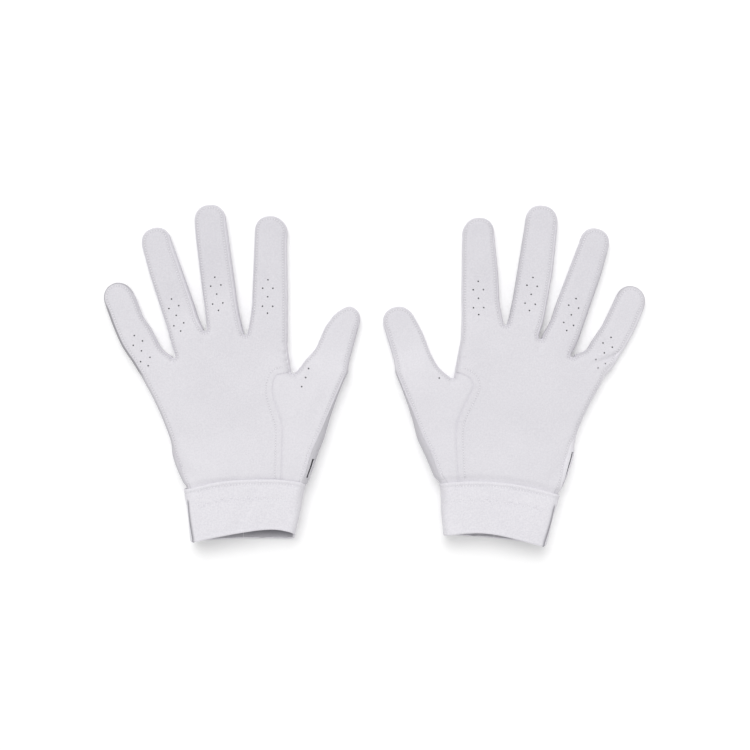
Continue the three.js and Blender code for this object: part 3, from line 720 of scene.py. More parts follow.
def drawn_in(angle):
    return 1 - np.maximum(np.cos(angle), 0) ** (2 / side_squareness)


def risen(angle):
    return np.sign(angle) * np.abs(np.sin(angle)) ** (2 / side_squareness)


def way_out(inward, angle, side, half, roundness):
    flat = np.maximum(np.cos(angle), 0) ** (2 - 2 / side_squareness) / roundness
    steep = np.abs(np.sin(angle)) ** (2 - 2 / side_squareness) / half * side
    ways = np.column_stack([-inward * flat[:, None], steep])
    return ways / np.linalg.norm(ways, axis=1, keepdims=True)


# one glove
class Glove:
    def __init__(self, side, hand):
        self.side = side
        self.hand = hand
        self.mirror = 1 if side == "right" else -1
        joints = {joint["name"]: joint for joint in frame["joints"]}
        self.joints = {name: joints[f"{side}_{name}_fold"] for name in fingers + ["thumb"]}
        self.peel = joints[f"{side}_strap_peel"]
        knuckle = in_palm([hand["knuckles"]["index"]])[0]
        spot = np.array(self.joints["index"]["pos_m"]) / MM
        self.origin = np.array([spot[0] - self.mirror * knuckle[0], spot[1] - knuckle[1], 0])
        lean = math.radians(hand["cuff_lean"])
        self.across = np.array([math.cos(lean), math.sin(lean)])
        self.up = np.array([-math.sin(lean), math.cos(lean)])
        self.draw_lines()
        self.draw_outline()
        self.gather_levels()

    # places
    def in_frame(self, points):
        return np.asarray(points) * (self.mirror, 1, 1) + self.origin

    def in_plan(self, points):
        return ((points - self.origin) * (self.mirror, 1, 1))[:, :2]

    def outward(self, faces, side=1):
        """Faces turned so that they point out of this glove."""
        if side * self.mirror > 0:
            return faces
        return [face[::-1] for face in faces] if isinstance(faces, list) else faces[:, ::-1]

    def at_wrist(self, x, y):
        x, y = np.asarray(x, float)[..., None], np.asarray(y, float)[..., None]
        return np.array([0, cuff_rise]) + self.across * x + self.up * y

    def wrist_line(self, share):
        share = np.asarray(share, float)
        return self.at_wrist(share * palm_width, -cuff_arch * (2 * share) ** 2)

    def from_wrist(self, spots):
        """How far across the cuff and how far below the wrist line each spot lies."""
        away = spots - np.array([0, cuff_rise])
        x, y = away @ self.across, away @ self.up
        return x, -y - cuff_arch * (2 * x / palm_width) ** 2

    def seated(self, line, rows, foot):
        fade = np.maximum(0, 1 - np.linspace(0, rows, len(line)) / 4)
        return line + (self.wrist_line(foot) - line[0]) * fade[:, None]

    # the outline
    def finger_way(self, name):
        lean = math.radians(self.hand["leans"][name])
        along = np.array([math.sin(lean), math.cos(lean)])
        return in_palm([self.hand["knuckles"][name]])[0], along, np.array([along[1], -along[0]])

    def finger_sides(self, name, left_foot, right_foot):
        knuckle, along, over = self.finger_way(name)
        width, reach = widths[name], reaches[name]
        cap, tip_width = width / 2, width * 0.9 / 2
        shaft = reach - cap
        left_end, right_end = knuckle - over * width / 2, knuckle + over * width / 2

        def base(foot, end):
            return bent(foot, end - along * np.linalg.norm(end - foot) * 0.45, end, 40)

        left_top = knuckle + along * shaft - over * tip_width
        right_top = knuckle + along * shaft + over * tip_width
        turn = np.radians(np.linspace(0, 90, 60))[:, None]
        square_left, square_right = self.hand["square_tips"].get(name, (2.3, 2.3))

        def tip(side, square):
            rise = cap * np.sin(turn) ** (2 / square)
            spread = tip_width * np.maximum(np.cos(turn), 0) ** (2 / square)
            return knuckle + along * (shaft + rise) + over * spread * side

        cap_line = np.vstack([tip(-1, square_left), tip(1, square_right)[::-1][1:]])
        return [
            (f"{name}_left", np.vstack([base(left_foot, left_end), [left_top]])),
            (f"{name}_cap", cap_line),
            (f"{name}_right", np.vstack([[right_top], base(right_foot, right_end)[::-1]])),
        ]

    def draw_lines(self):
        """The hand's two side edges, the thumb's seam, and the notch where index finger and thumb meet."""
        self.crotches = in_palm(self.hand["crotches"])
        self.little_line = self.seated(spline(in_palm(little_edge), 96), 12, little_edge[0][0])
        self.thumb_line = self.seated(spline(in_palm(thumb_edge), 90), 9, thumb_edge[0][0])
        seam, drop = self.hand["seam"], self.hand["notch_drop"]
        self.seam_foot = seam[0][0]
        self.notch = in_palm(seam[-1:])[0] - (0.8, drop)
        climb = self.crotches[3] - self.notch
        self.seam_end = self.notch + climb * ((drop + 0.8) / climb[1])
        knots = np.vstack([in_palm(seam[:-1]), self.seam_end])
        self.seam_line = self.seated(spline(knots, 90), 9, self.seam_foot)

    def sections(self):
        """The outline's named stretches, from the cuff's little-finger side round to its thumb side."""
        u_turn = np.radians(np.linspace(180, 360, 9))
        feet = [crotch + (0, crotch_radius) for crotch in self.crotches[:3]]
        bends = [foot + crotch_radius * np.stack([np.cos(u_turn), np.sin(u_turn)], 1) for foot in feet]
        starts = [self.little_line[-1]] + [bend[-1] for bend in bends]
        ends = [bend[0] for bend in bends] + [self.crotches[3]]
        drops = np.linspace(cuff_height, 0, 30)
        half = blended(palm_width, cuff_mouth, drops / cuff_height) / 2
        found = [("cuff_left", self.at_wrist(-half, -cuff_arch - drops)), ("little_edge", self.little_line)]
        for place, name in enumerate(fingers):
            found += self.finger_sides(name, starts[place], ends[place])
            if place < 3:
                found.append((f"crotch_{place}", bends[place]))
        thumb = self.finger_sides("thumb", self.notch, self.thumb_line[-1])
        rise = self.crotches[3] - self.notch
        fall = self.notch + rise / np.linalg.norm(rise) * notch_round
        climb = measured(thumb[0][1], 0.3)
        climb = climb[run_along(climb) > notch_round]
        found.append(("index_side", np.vstack([self.crotches[3], fall])))
        found.append(("notch", bent(fall, self.notch, climb[0], 8)))
        found.append(("thumb_left", climb))
        found += thumb[1:]
        found.append(("thumb_edge", self.thumb_line[::-1]))
        found.append(("cuff_right", self.at_wrist(half[::-1], -cuff_arch - drops[::-1])))
        return found

    def draw_outline(self):
        points, parts = [], []
        for name, line in self.sections():
            step = crotch_step if name.startswith(("crotch", "notch")) else outline_step
            fine = measured(line, step)
            points.append(fine[:-1])
            parts += [name] * (len(fine) - 1)
        self.outline = np.vstack(points + [fine[-1:]])
        self.parts = np.array(parts + [name])
        self.inward = sides_of(self.outline)
        for _ in range(2):
            soft = (np.roll(self.inward, 1, 0) + self.inward * 2 + np.roll(self.inward, -1, 0)) / 4
            soft[[0, -1]] = self.inward[[0, -1]]
            self.inward = soft / np.linalg.norm(soft, axis=1, keepdims=True)
        self.rim = Line(self.outline)
        self.outline = self.outline - self.inward * self.eased()[:, None]
        self.rim = Line(self.outline)
        self.seam = Line(measured(self.seam_line, outline_step))
        self.seam_in = sides_of(self.seam.points)
        on_side = np.flatnonzero((self.parts == "index_side") | (self.parts == "notch"))
        away = np.linalg.norm(self.outline[on_side] - self.seam_end, axis=1)
        self.turn = int(on_side[away.argmin()])
        self.set_insets()

    def spots_at(self, part):
        return np.flatnonzero(self.parts == part)

    def spots_above(self, first_part, last_part, low):
        """The first and the last spot of two stretches that lie higher than this below the wrist line."""
        _, drop = self.from_wrist(self.outline)
        first = np.flatnonzero((self.parts == first_part) & (drop < low))[0]
        last = np.flatnonzero((self.parts == last_part) & (drop < low))[-1]
        return int(first), int(last)

    def eased(self):
        """How far out from its pattern each spot of the outline lies, as this glove has been stretched."""
        out = np.zeros(len(self.outline))
        for name in fingers + ["thumb"]:
            cap = self.spots_at(f"{name}_cap")
            half = len(cap) // 2
            for edge, tip in (("left", cap[:half]), ("right", cap[half:][::-1])):
                if f"{name}_{edge}" not in self.hand["ease"]:
                    continue
                heights, outs = np.transpose(sorted(self.hand["ease"][f"{name}_{edge}"]))
                side = self.spots_at(f"{name}_{edge}")
                if name in ("little", "thumb") and edge != ("right" if name == "little" else "left"):
                    side = np.concatenate([side, self.spots_at(f"{name}_edge")])
                out[side] = np.interp(self.outline[side, 1], heights, outs)
                out[tip] = np.interp(self.outline[tip, 1], heights, outs) * np.linspace(1, 0, len(tip))
        return self.softened(out)

    def set_insets(self):
        """How far inside the outline the front panels' edges lie."""
        left, right = self.hand["left_insets"], self.hand["right_insets"]
        inset = np.zeros(len(self.outline))
        for place, part in enumerate(self.parts):
            name, _, edge = part.partition("_")
            if edge == "left" and name in left:
                inset[place] = left[name]
            elif edge == "right" and name in right:
                inset[place] = right[name]
            elif edge == "cap":
                inset[place] = (left[name] + right[name]) / 2 * 0.6 + 0.1
            elif part in ("little_edge", "cuff_left"):
                inset[place] = np.interp(self.outline[place, 1], *np.transpose(self.hand["little_strip"]))
            elif part == "index_side":
                inset[place] = right["index"]
            elif part in ("notch", "crotch_0", "crotch_1", "crotch_2"):
                inset[place] = 0.5
        on_edge = np.flatnonzero(self.parts == "thumb_edge")
        inset[on_edge] = np.interp(np.linspace(9, 0, len(on_edge)), range(10), thumb_strip)
        inset[self.parts == "cuff_right"] = thumb_strip[0]
        self.front_inset = self.softened(inset)
        # how much painted shade darkens each stretch of the outline
        soil = np.array([self.hand["soiled"].get(part, 0) for part in self.parts], float)
        self.soil = self.softened(soil)

    def softened(self, values):
        """The same values along the outline, without sudden steps."""
        run = self.rim.run
        marks = np.arange(0, run[-1], 0.5)
        fine = np.interp(marks, run, values)
        bell = np.exp(-(np.arange(-14, 15) / 6) ** 2)
        fine = np.convolve(np.pad(fine, 14, mode="edge"), bell / bell.sum(), "valid")
        return np.interp(run, marks, fine)

    # the body of the empty glove
    def gather_levels(self):
        """Depth, lift and roundness of the empty glove at chosen spots of the plan."""
        spots, values = [], []

        def note(line_spots, depth, lift, roundness):
            level = [depth / 2, lift + depth / 2, roundness * side_share]
            spots.append(line_spots)
            values.append(np.broadcast_to(level, (len(line_spots), 3)))

        def palm_level(share):
            lift = stack_height * (1 - smooth(share, 0.02, 0.36))
            if share < 0.5:
                depth = blended(cuff_depth, palm_depth, share / 0.5)
            else:
                depth = blended(palm_depth, crotch_depth, smooth(share, 0.5, 1.05))
            return depth, lift, blended(palm_round, finger_round, smooth(share, 0.5, 0.8))

        index_side = respaced(np.vstack([self.seam_line[-1], self.crotches[3]]), 30)
        lines = [respaced(self.little_line, 24)]
        lines += [respaced(np.vstack([self.wrist_line(foot), crotch]), 24)
                  for foot, crotch in zip(wrist_feet, self.crotches)]
        lines.append(np.vstack([respaced(self.seam_line, 18), respaced(index_side, 6)[1:]]))
        for row, share in enumerate(np.linspace(0, 1, 25)):
            ends = np.array([line[row] for line in lines])
            note(respaced(ends, 10), *palm_level(share))
        thumb_rows = respaced(self.thumb_line, 18)
        seam_rows = respaced(self.seam_line, 18)
        for row in range(19):
            note(np.linspace(seam_rows[row], thumb_rows[row], 4), *palm_level(row / 24))
        for drop in np.linspace(0, cuff_height, 6):
            across = np.linspace(-palm_width / 2, palm_width / 2, 12)
            line = self.at_wrist(across, -cuff_arch * (2 * across / palm_width) ** 2 - drop)
            note(line, cuff_depth, stack_height, palm_round)
        for name in fingers + ["thumb"]:
            knuckle, along, over = self.finger_way(name)
            foot_depth, _, foot_round = palm_level(1 if name != "thumb" else 0.75)
            foot = 22 if name in ("middle", "index") else 12
            sideways = over * np.array([[-8], [0], [8]])
            for back in np.linspace(0, foot, 5):
                share = back / foot
                depth = blended(finger_depth, foot_depth, share)
                note(knuckle - along * back + sideways, depth, 0, blended(finger_round, foot_round, share))
            for ahead in np.linspace(3, reaches[name], 12):
                depth = finger_depth * (1 - 0.1 * ahead / reaches[name])
                note(knuckle + along * ahead + sideways, depth, 0, finger_round)
        self.level_spots = np.vstack(spots)
        self.level_values = np.vstack(values)

    def levels(self, spots):
        found = np.empty((len(spots), 3))
        for start in range(0, len(spots), 3000):
            part = spots[start:start + 3000, None]
            away = ((part - self.level_spots) ** 2).sum(2)
            weight = np.exp((away.min(1, keepdims=True) - away) / (2 * 4.5 ** 2))
            found[start:start + 3000] = weight @ self.level_values / weight.sum(1, keepdims=True)
        return found

    def skin(self, spots, side):
        """The spots on the glove's outer skin, the way out of it, and how far they lie inside the outline."""
        depth_in, foot, _ = self.rim.nearest(spots)
        half, middle, roundness = self.levels(spots).T
        angle = turned(depth_in / roundness)
        inward = (spots - foot) / np.maximum(depth_in, 1e-6)[:, None]
        points = np.column_stack([spots, middle + side * half * risen(angle)])
        return points, way_out(inward, angle, side, half, roundness), depth_in

    def swell(self, spots, depth_in, side):
        """The soft unevenness of leather that lies empty."""
        x, y = spots.T
        wave = np.sin(x / 9.3 + 1.3 * np.sin(y / 21) + side) * np.cos(y / 13.7 + 0.8 * np.sin(x / 17))
        wave += 0.6 * np.sin((x + y) / 6.1 + np.cos(y / 8)) + 0.5 * np.cos((x - 1.7 * y) / 7.7)
        if side < 0:
            wave = np.minimum(wave, 0)
        return wave * 0.16 * smooth(depth_in, 2, 9)

    def tucked(self, points, ways, spots):
        """Leather that reaches the cuff dips under it."""
        _, drop = self.from_wrist(spots)
        return points - ways * (tuck_depth * smooth(drop, -4.6, -1.0))[:, None]

    def height(self, spots, side, depth_in, near, stitched):
        """Where the skin stands out or dips: near is the distance to the panel's edge,
        and stitched how far inside that edge its stitches run, or 0 where it isn't sewn."""
        raised = self.swell(spots, depth_in, side)
        dip = 0.16 * np.exp(-near / 0.4) + 0.24 * np.exp(-((near - stitched) / 0.55) ** 2)
        raised -= smooth(stitched, 0, 1) * dip
        if side > 0:
            for knots, depth, width in self.hand["creases"]:
                line = Line(spline(knots, 24))
                away, _, place = line.nearest(spots)
                taper = np.sin(np.pi * np.clip(place / 24, 0.02, 0.98)) ** 0.7
                shape = np.exp(-(away / width) ** 2) - 0.4 * np.exp(-((away - 2.2 * width) / width) ** 2)
                raised -= depth * taper * shape
        return raised

    # panels
    def under(self, spots):
        """How far the thumb's panel dips to pass under the folded edge of the hand's panel."""
        away, foot, place = self.seam.nearest(spots)
        way = self.seam_in[np.round(place).astype(int)]
        past = ((spots - foot) * way).sum(1)
        beyond = (np.abs(past) < 0.5 * away) | (place > len(self.seam.points) - 1.1)
        past = np.where(beyond, away, past)
        return 0.65 * (1 - smooth(past, 0.1, 2.2))

    def panel(self, loop, edge, side, step, holes=(), under_seam=False):
        """A panel cut to a closed loop of spots; edge says how far inside it the stitches run there."""
        area = np.sum(loop[:, 0] * np.roll(loop[:, 1], -1) - np.roll(loop[:, 0], -1) * loop[:, 1])
        if area > 0:
            loop, edge = loop[::-1], edge[::-1]
        border = Line(loop, closed=True)
        spots, edges = punched(spread(border, step), holes, len(loop))
        outer = [list(range(len(loop)))]
        spots = [Vector(spot) for spot in spots.tolist()]
        knots, _, faces, *_ = delaunay_2d_cdt(spots, edges, outer, 1, 1e-5)
        spots = np.array([tuple(knot) for knot in knots])
        faces = np.array(faces)
        for hole in holes:
            faces = faces[np.linalg.norm(spots[faces].mean(1) - hole, axis=1) > 0.5]
        near, _, place = border.nearest(spots)
        stitched = edge[np.round(place).astype(int) % len(loop)]
        points, ways, depth_in = self.skin(spots, side)
        raised = self.height(spots, side, depth_in, near, stitched)
        if under_seam:
            raised -= self.under(spots)
        points = self.tucked(points + ways * raised[:, None], ways, spots)
        faces = self.outward(faces, side)
        used = np.unique(faces)
        new = np.full(len(points), -1)
        new[used] = range(len(used))
        stitches = np.where(stitched > 0, np.abs(near - stitched), unsewn)
        edges = np.where(stitched > 0, near, unsewn)
        marks = np.column_stack([stitches, edges, border.along(place), np.zeros(len(near))])
        return Cut(self.in_frame(points[used]), new[faces], marks[used])

    def wall(self, first, last, tuck_back, slot=None):
        """The side of the glove between its seams, from one place of the outline to another."""
        keep = slice(first, last + 1)
        spots, inward = self.outline[keep], self.inward[keep]
        half, middle, roundness = self.levels(spots).T
        top, bottom = turned(self.front_inset[keep] / roundness), turned(seam_reach / roundness)

        def row(angle, sink=0.0, further=0.0):
            inset = roundness * drawn_in(angle) + further
            place = spots + inward * inset[:, None]
            ways = way_out(inward, angle, np.sign(angle), half, roundness)
            points = np.column_stack([place, middle + half * risen(angle)]) - ways * sink
            return self.tucked(points, ways, place)

        columns = [row(top, 1.05, 0.9), row(top, 0.7, 0.35), row(top, 0.16, 0.05)]
        nears = [-1.2, -0.6, 0]
        for share in np.linspace(0.93, 0.07, 9):
            columns.append(row(blended(-bottom, top, share)))
            nears.append(min(share, 1 - share if tuck_back else share) * 4)
        if tuck_back:
            columns += [row(-bottom, 0.25, 0.05), row(-bottom, 0.75, 0.35), row(-bottom, 1.05, 0.9)]
            nears += [0, -0.6, -1.2]
        else:
            place = spots + inward * seam_reach
            points, ways, depth_in = self.skin(place, -1)
            points += ways * self.swell(place, depth_in, -1)[:, None]
            columns.append(self.tucked(points, ways, place))
            nears.append(unsewn)
        count, lines = len(spots), len(columns)
        # the last mark is the painted shade along the rim
        marks = np.column_stack([np.full(count * lines, unsewn), np.tile(nears, count),
                                 np.repeat(self.rim.run[keep], lines), np.repeat(self.soil[keep], lines)])
        faces = self.outward(grid_faces(count, lines).reshape(-1, 4))
        if slot:
            part, low, high = slot
            runs = self.rim.run[self.parts == part]
            share = (self.rim.run[keep] - runs[0]) / (runs[-1] - runs[0])
            row_share = np.repeat((share[:-1] + share[1:]) / 2, lines - 1)
            column = np.tile(np.arange(lines - 1), count - 1)
            faces = faces[~((row_share > low) & (row_share < high) & np.isin(column, slot_columns))]
        return Cut(self.in_frame(np.stack(columns, 1).reshape(-1, 3)), faces, marks)

    def owners(self, spots):
        """Which finger each spot goes with, the nearest: its number, or -1 for the hand."""
        owner, nearest = np.full(len(spots), -1), np.full(len(spots), finger_share)
        for number, name in enumerate(fingers):
            knuckle, along, over = self.finger_way(name)
            away = spots - knuckle
            share = np.abs(away @ over) / widths[name]
            closer = (away @ along > finger_start) & (share < nearest)
            owner[closer], nearest[closer] = number, share[closer]
        return owner

    # making
    def ride(self, piece, body="hands"):
        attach(piece, body)
        return piece

    def bends(self, piece, name):
        knuckle, along, _ = self.finger_way(name)
        reaches_by = (-knuckle_back, knuckle_ahead)
        start, end = (np.append(knuckle + along * reach, hinge_height) for reach in reaches_by)
        start, end = self.in_frame([start, end]) * MM
        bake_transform(piece)
        return piece

    def hole_spots(self):
        found = []
        for name in fingers:
            knuckle, along, over = self.finger_way(name)
            middle = knuckle + over * self.hand["hole_shift"]
            found += [middle + along * ahead + over * aside for ahead, aside in hole_pattern]
        return found

    def panel_loops(self, side):
        """The closed loops of the hand panel and the thumb panel."""
        inset = self.front_inset if side > 0 else np.full(len(self.outline), seam_reach)
        edge = self.outline + self.inward * inset[:, None]
        start, end = self.spots_above("cuff_left", "cuff_right", panel_hem)
        foot = self.wrist_line(self.seam_foot) - self.up * panel_hem
        sewn_side = np.full(len(self.outline), stitch_inset)
        sewn_side[(self.parts == "index_side") | (self.parts == "notch")] = 0
        if side < 0:
            sewn_side *= np.isin(self.parts, strip_parts)

        def to_hem(line):
            tail = measured(np.vstack([line[0], foot]), outline_step)[1:]
            return np.vstack([line[::-1], tail])[2:]

        def hem(first, last):
            count = max(8, int(abs(first - last) * palm_width / outline_step))
            return self.wrist_line(np.linspace(first, last, count)[1:-1]) - self.up * panel_hem

        hand, thumb = np.arange(start, self.turn + 1), np.arange(self.turn, end + 1)
        seam = to_hem(self.seam.points)
        under_seam = to_hem(self.seam.points - self.seam_in * seam_overlap)[::-1]
        hand_hem, thumb_hem = hem(self.seam_foot, little_edge[0][0]), hem(thumb_edge[0][0], self.seam_foot)
        hand_flags = [sewn_side[hand], np.full(len(seam), seam_stitch_inset), np.zeros(len(hand_hem))]
        thumb_flags = [sewn_side[thumb], np.zeros(len(thumb_hem) + len(under_seam))]
        return [(np.vstack([edge[hand], seam, hand_hem]), np.concatenate(hand_flags)),
                (np.vstack([edge[thumb], thumb_hem, under_seam]), np.concatenate(thumb_flags))]

    def fitted(self, piece, *nodes, bending=None):
        """Hides the solids that a piece stands for, and puts the piece with the hands, or leaves a finger's
        piece where it lies.
        """
        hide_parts(*(f"{self.side}_{node}" for node in nodes))
        if bending:
            self.bends(piece, bending)
        else:
            self.ride(piece)

    def make_panels(self):
        side = self.side
        palm_loop, thumb_loop = self.panel_loops(1)
        front = self.panel(*palm_loop, 1, front_step, self.hole_spots()).find_lay()
        owner = self.owners(self.in_plan(front.middles()))
        self.fitted(sewn(f"{side}_palm", front.part(owner < 0), palm_leather), "palm_panel")
        for number, name in enumerate(fingers):
            tip = sewn(f"{side}_{name}_front", front.part(owner == number), palm_leather)
            self.fitted(tip, f"{name}_tip", bending=name)
        holes = [np.array(hole) for hole in self.hand["thumb_holes"]]
        thumb = self.panel(*thumb_loop, 1, front_step, holes, True).find_lay()
        thumb = sewn(f"{side}_thumb_front", thumb, thumb_leather)
        self.fitted(thumb, "thumb_panel", "thumb_tip", bending="thumb")

    def make_back(self):
        side, slot = self.side, self.hand["slot"]
        hand_loop, thumb_loop = self.panel_loops(-1)
        start, end = self.spots_above("cuff_left", "cuff_right", panel_hem)
        caps = {name: self.spots_at(f"{name}_cap") for name in fingers}
        little_slot = slot if slot[0] == "little_edge" else None
        walls = [self.wall(start, int(caps["little"][-1]) + 1, False, little_slot)]
        for name in ("ring", "middle"):
            walls.append(self.wall(int(caps[name][0]), int(caps[name][-1]) + 1, False))
        walls.append(self.wall(int(caps["index"][0]), self.turn, False))
        back = self.panel(*hand_loop, -1, back_step).joined(*walls).find_lay()
        owner = self.owners(self.in_plan(back.middles()))
        self.fitted(sewn(f"{side}_back", back.part(owner < 0), back_leather), "back_panel")
        for number, name in enumerate(fingers):
            tip = sewn(f"{side}_{name}_back", back.part(owner == number), back_leather)
            self.fitted(tip, f"{name}_tip_back", bending=name)
        thumb_wall = self.wall(self.turn, end, False, slot if slot[0] == "thumb_edge" else None)
        thumb = self.panel(*thumb_loop, -1, back_step, (), True).joined(thumb_wall).find_lay()
        thumb = sewn(f"{side}_thumb_side", thumb, back_leather)
        self.fitted(thumb, "thumb_back", "thumb_tip_back", bending="thumb")

    def make_strips(self):
        """The strips between the fingers: one from each fingertip down to the crotch and up again."""
        side = self.side
        for place, (lower, upper) in enumerate(zip(fingers, fingers[1:])):
            first = int(self.spots_at(f"{lower}_right")[0])
            last = int(self.spots_at(f"{upper}_left")[-1]) + 1
            strip = self.wall(first, last, True).find_lay()
            owner = self.owners(self.in_plan(strip.middles()))
            middle = sewn(f"{side}_gusset_{lower}_{upper}", strip.part(owner < 0), side_leather)
            self.fitted(middle, f"fourchette_{lower}_{upper}")
            for number, name, other in ((place, lower, upper), (place + 1, upper, lower)):
                part = sewn(f"{side}_{name}_strip_by_{other}", strip.part(owner == number), side_leather)
                self.fitted(part, f"{name}_side_{other}", bending=name)

    # the cuff
    def cuff_surface(self, lane, edge, turn, drop, out):
        """Points of the cuff: lane from -1 to 1 across its flat middle, edge and turn round its sides."""
        share = drop / cuff_height
        half_width = blended(palm_width, cuff_mouth, share) / 2
        half, middle, roundness = cuff_depth / 2, stack_height + cuff_depth / 2, palm_round * side_share
        cross = np.maximum(np.cos(turn), 0) ** (2 / side_squareness)
        x = lane * (half_width - roundness) + edge * roundness * cross + self.hand["cuff_sway"] * share
        ways = np.stack([edge * np.cos(turn), np.sin(turn)], -1)
        z = middle + half * risen(turn) + ways[..., 1] * out
        place = self.at_wrist(x + ways[..., 0] * out, -cuff_arch * (x / half_width) ** 2 - drop)
        return np.concatenate([place, z[..., None]], -1), ways

    def cuff_edges(self, u):
        def waves(name):
            return sum(high * np.exp(-((u - at) / wide) ** 2) for high, at, wide in self.hand[name])
        return -1.1 - waves("cuff_top"), cuff_height - waves("mouth")

    def cuff_columns(self, facing):
        """Lane, edge and turn of each column of the cuff's front or back cloth."""
        quarter = math.pi / 2 * facing
        left = np.linspace(turned(seam_reach / (palm_round * side_share)), quarter, 14 if facing > 0 else 20)
        right = np.linspace(quarter, 0, 12)
        lanes = np.concatenate([np.linspace(-0.97, -0.004, 24), np.linspace(0.004, 0.97, 24)])
        lane = np.concatenate([np.full(len(left), -1), lanes, np.full(len(right), 1)])
        edge = np.concatenate([np.full(len(left), -1), np.zeros(len(lanes)), np.full(len(right), 1)])
        return lane, edge, np.concatenate([left, np.full(len(lanes), quarter), right])

    def cuff_relief(self, u, turn, fall, rise, facing):
        """How far the cloth stands out: its raised band, its rows of stitches, its hem and its waves."""
        out = 0.5 * np.exp(-((fall - 1.2) / 0.95) ** 2) - 0.14 * np.exp(-((fall - band_row) / 0.45) ** 2)
        out += 0.45 * np.maximum(np.sin(turn), 0) - 0.1 * np.exp(-((fall - zigzag_row) / 1.5) ** 2)
        out -= 0.3 * np.exp(-fall / 0.3)
        out += 0.3 * np.exp(-((rise - 0.9) / 0.8) ** 2) - 0.3 * np.exp(-rise / 0.3)
        out += 0.28 * np.sin(u * 7.5 + facing) * np.cos(fall / 7 + u * 3) * smooth(fall, 1, 6)
        out += 0.2 * np.sin(u * 17 + fall / 5) * smooth(fall, 1, 8)
        return np.minimum(out, 0.3) if facing < 0 else out

    def make_cuff(self):
        depths = np.concatenate([np.linspace(*rows) for rows in cuff_rows]) / cuff_height
        for facing, name in ((1, "front"), (-1, "back")):
            lane, edge, turn = self.cuff_columns(facing)
            u = lane * 0.7 + edge * 0.3 * np.cos(turn)
            top, bottom = self.cuff_edges(u)
            if facing < 0:
                bottom = cuff_height + cuff_arch * 0.95 * (1 - u ** 2)
            drop = top + (bottom - top) * depths[:, None]
            fall, rise = drop - top, bottom - drop
            out = self.cuff_relief(u, turn, fall, rise, facing)
            points, _ = self.cuff_surface(lane, edge, turn, drop, out)
            across = run_along(points[len(depths) // 2])
            # painted shade: a dark line down the little-finger side of the front cuff, standing in for shade
            # in the slit between its cloths
            creased = np.where((edge < 0) & (facing > 0), 1 - smooth(turn, 0.85, 1.2), 0) * smooth(fall, 6, 9)
            faces = grid_faces(*drop.shape)
            if facing < 0:
                wanted = np.ones(faces.shape[:2], bool)
                wanted[depths[:-1] * cuff_height > vent_start, np.flatnonzero(lane > 0)[0] - 1] = False
                faces = faces[wanted]
            faces = self.outward(faces.reshape(-1, 4), facing).tolist()
            points = self.in_frame(points.reshape(-1, 3))
            piece = laid(f"{self.side}_cuff_{name}_cloth", points, faces, cuff_knit,
                         cloth_across=np.broadcast_to(across, drop.shape).ravel(), cloth_down=fall.ravel(),
                         from_stitches=self.from_cuff_rows(lane, edge, fall, facing).ravel(),
                         inside_cuff=np.maximum(rise, 0).ravel(), creased=creased.ravel())
            piece.data.materials.append(shaded_cuff_lining)
            thickened(piece, knit_thickness, material_offset=1)
            self.fitted(piece, f"cuff_{name}")
        self.make_elastic()

    def from_cuff_rows(self, lane, edge, fall, facing):
        """How far each spot of the cuff lies from a row of stitches."""
        if facing < 0:
            return np.abs(fall - band_row)
        on_flat = np.where(edge == 0, 0.0, unsewn)
        from_zigzag = np.abs(fall - zigzag_row - self.zigzag(lane)) * 0.75
        return np.minimum(np.abs(fall - band_row), from_zigzag) + on_flat

    def zigzag(self, lane):
        return 1.3 * (2 * np.abs(2 * ((lane * 28 / 5) % 1) - 1) - 1)

    def make_elastic(self):
        """The wrist elastic, gathered a little, inside the palm side of the cuff."""
        lane = np.linspace(-0.95, 0.95, 90)
        drop = np.linspace(8, 26, 19)[:, None] + 0 * lane
        out = -1.55 - 0.18 * (1 + np.sin(lane * 60)) * np.cos((drop - 17) / 9 * math.pi / 2)
        points, _ = self.cuff_surface(lane + 0 * drop, 0 * drop, 0 * drop + math.pi / 2, drop, out)
        faces = self.outward(grid_faces(*drop.shape).reshape(-1, 4)).tolist()
        piece = laid(f"{self.side}_elastic", self.in_frame(points.reshape(-1, 3)), faces, band_knit,
                     cloth_across=(lane * 30 + 0 * drop).ravel(), cloth_down=drop.ravel(),
                     from_stitches=0 * drop.ravel() + unsewn)
        thickened(piece, elastic_thickness)
        self.fitted(piece, "wrist_elastic")

    # the strap across the back of the cuff
    def strap_top(self, x, y):
        """The strap's upper face: under the cuff's skin where it is sewn on, flat along its tongue."""
        share = (x + strap_start + strap_base_length) / strap_base_length
        drop = strap_drop + cuff_arch - y - cuff_arch * (x / 37) ** 2
        half_width = blended(palm_width, cuff_mouth, np.clip(drop / cuff_height, 0, 1)) / 2
        angle = turned((half_width - np.abs(x)) / (palm_round * side_share))
        under = stack_height + cuff_depth / 2 * (1 - risen(angle)) - 0.45
        dropped = blended(np.maximum(under, strap_lift), strap_lift, smooth(share, 0.05, 0.98))
        return np.where(share < 1, dropped, strap_lift)

    def strap_spots(self, x, y):
        place = self.at_wrist(x, y - strap_drop - cuff_arch)
        return np.concatenate([place, self.strap_top(x, y)[..., None]], -1)

    def strap_side(self, inset, turns):
        """Places along the strap and half its width there, at an inset from its edge."""
        bend, corner = strap_end - strap_corner, strap_corner - inset
        rounded = bend + corner * np.sin(np.radians(turns))
        x = np.concatenate([np.linspace(strap_root + inset, bend, 60), rounded])
        past = np.maximum(x - bend, 0)
        return x, strap_width / 2 - strap_corner + np.sqrt(np.maximum(corner ** 2 - past ** 2, 0))

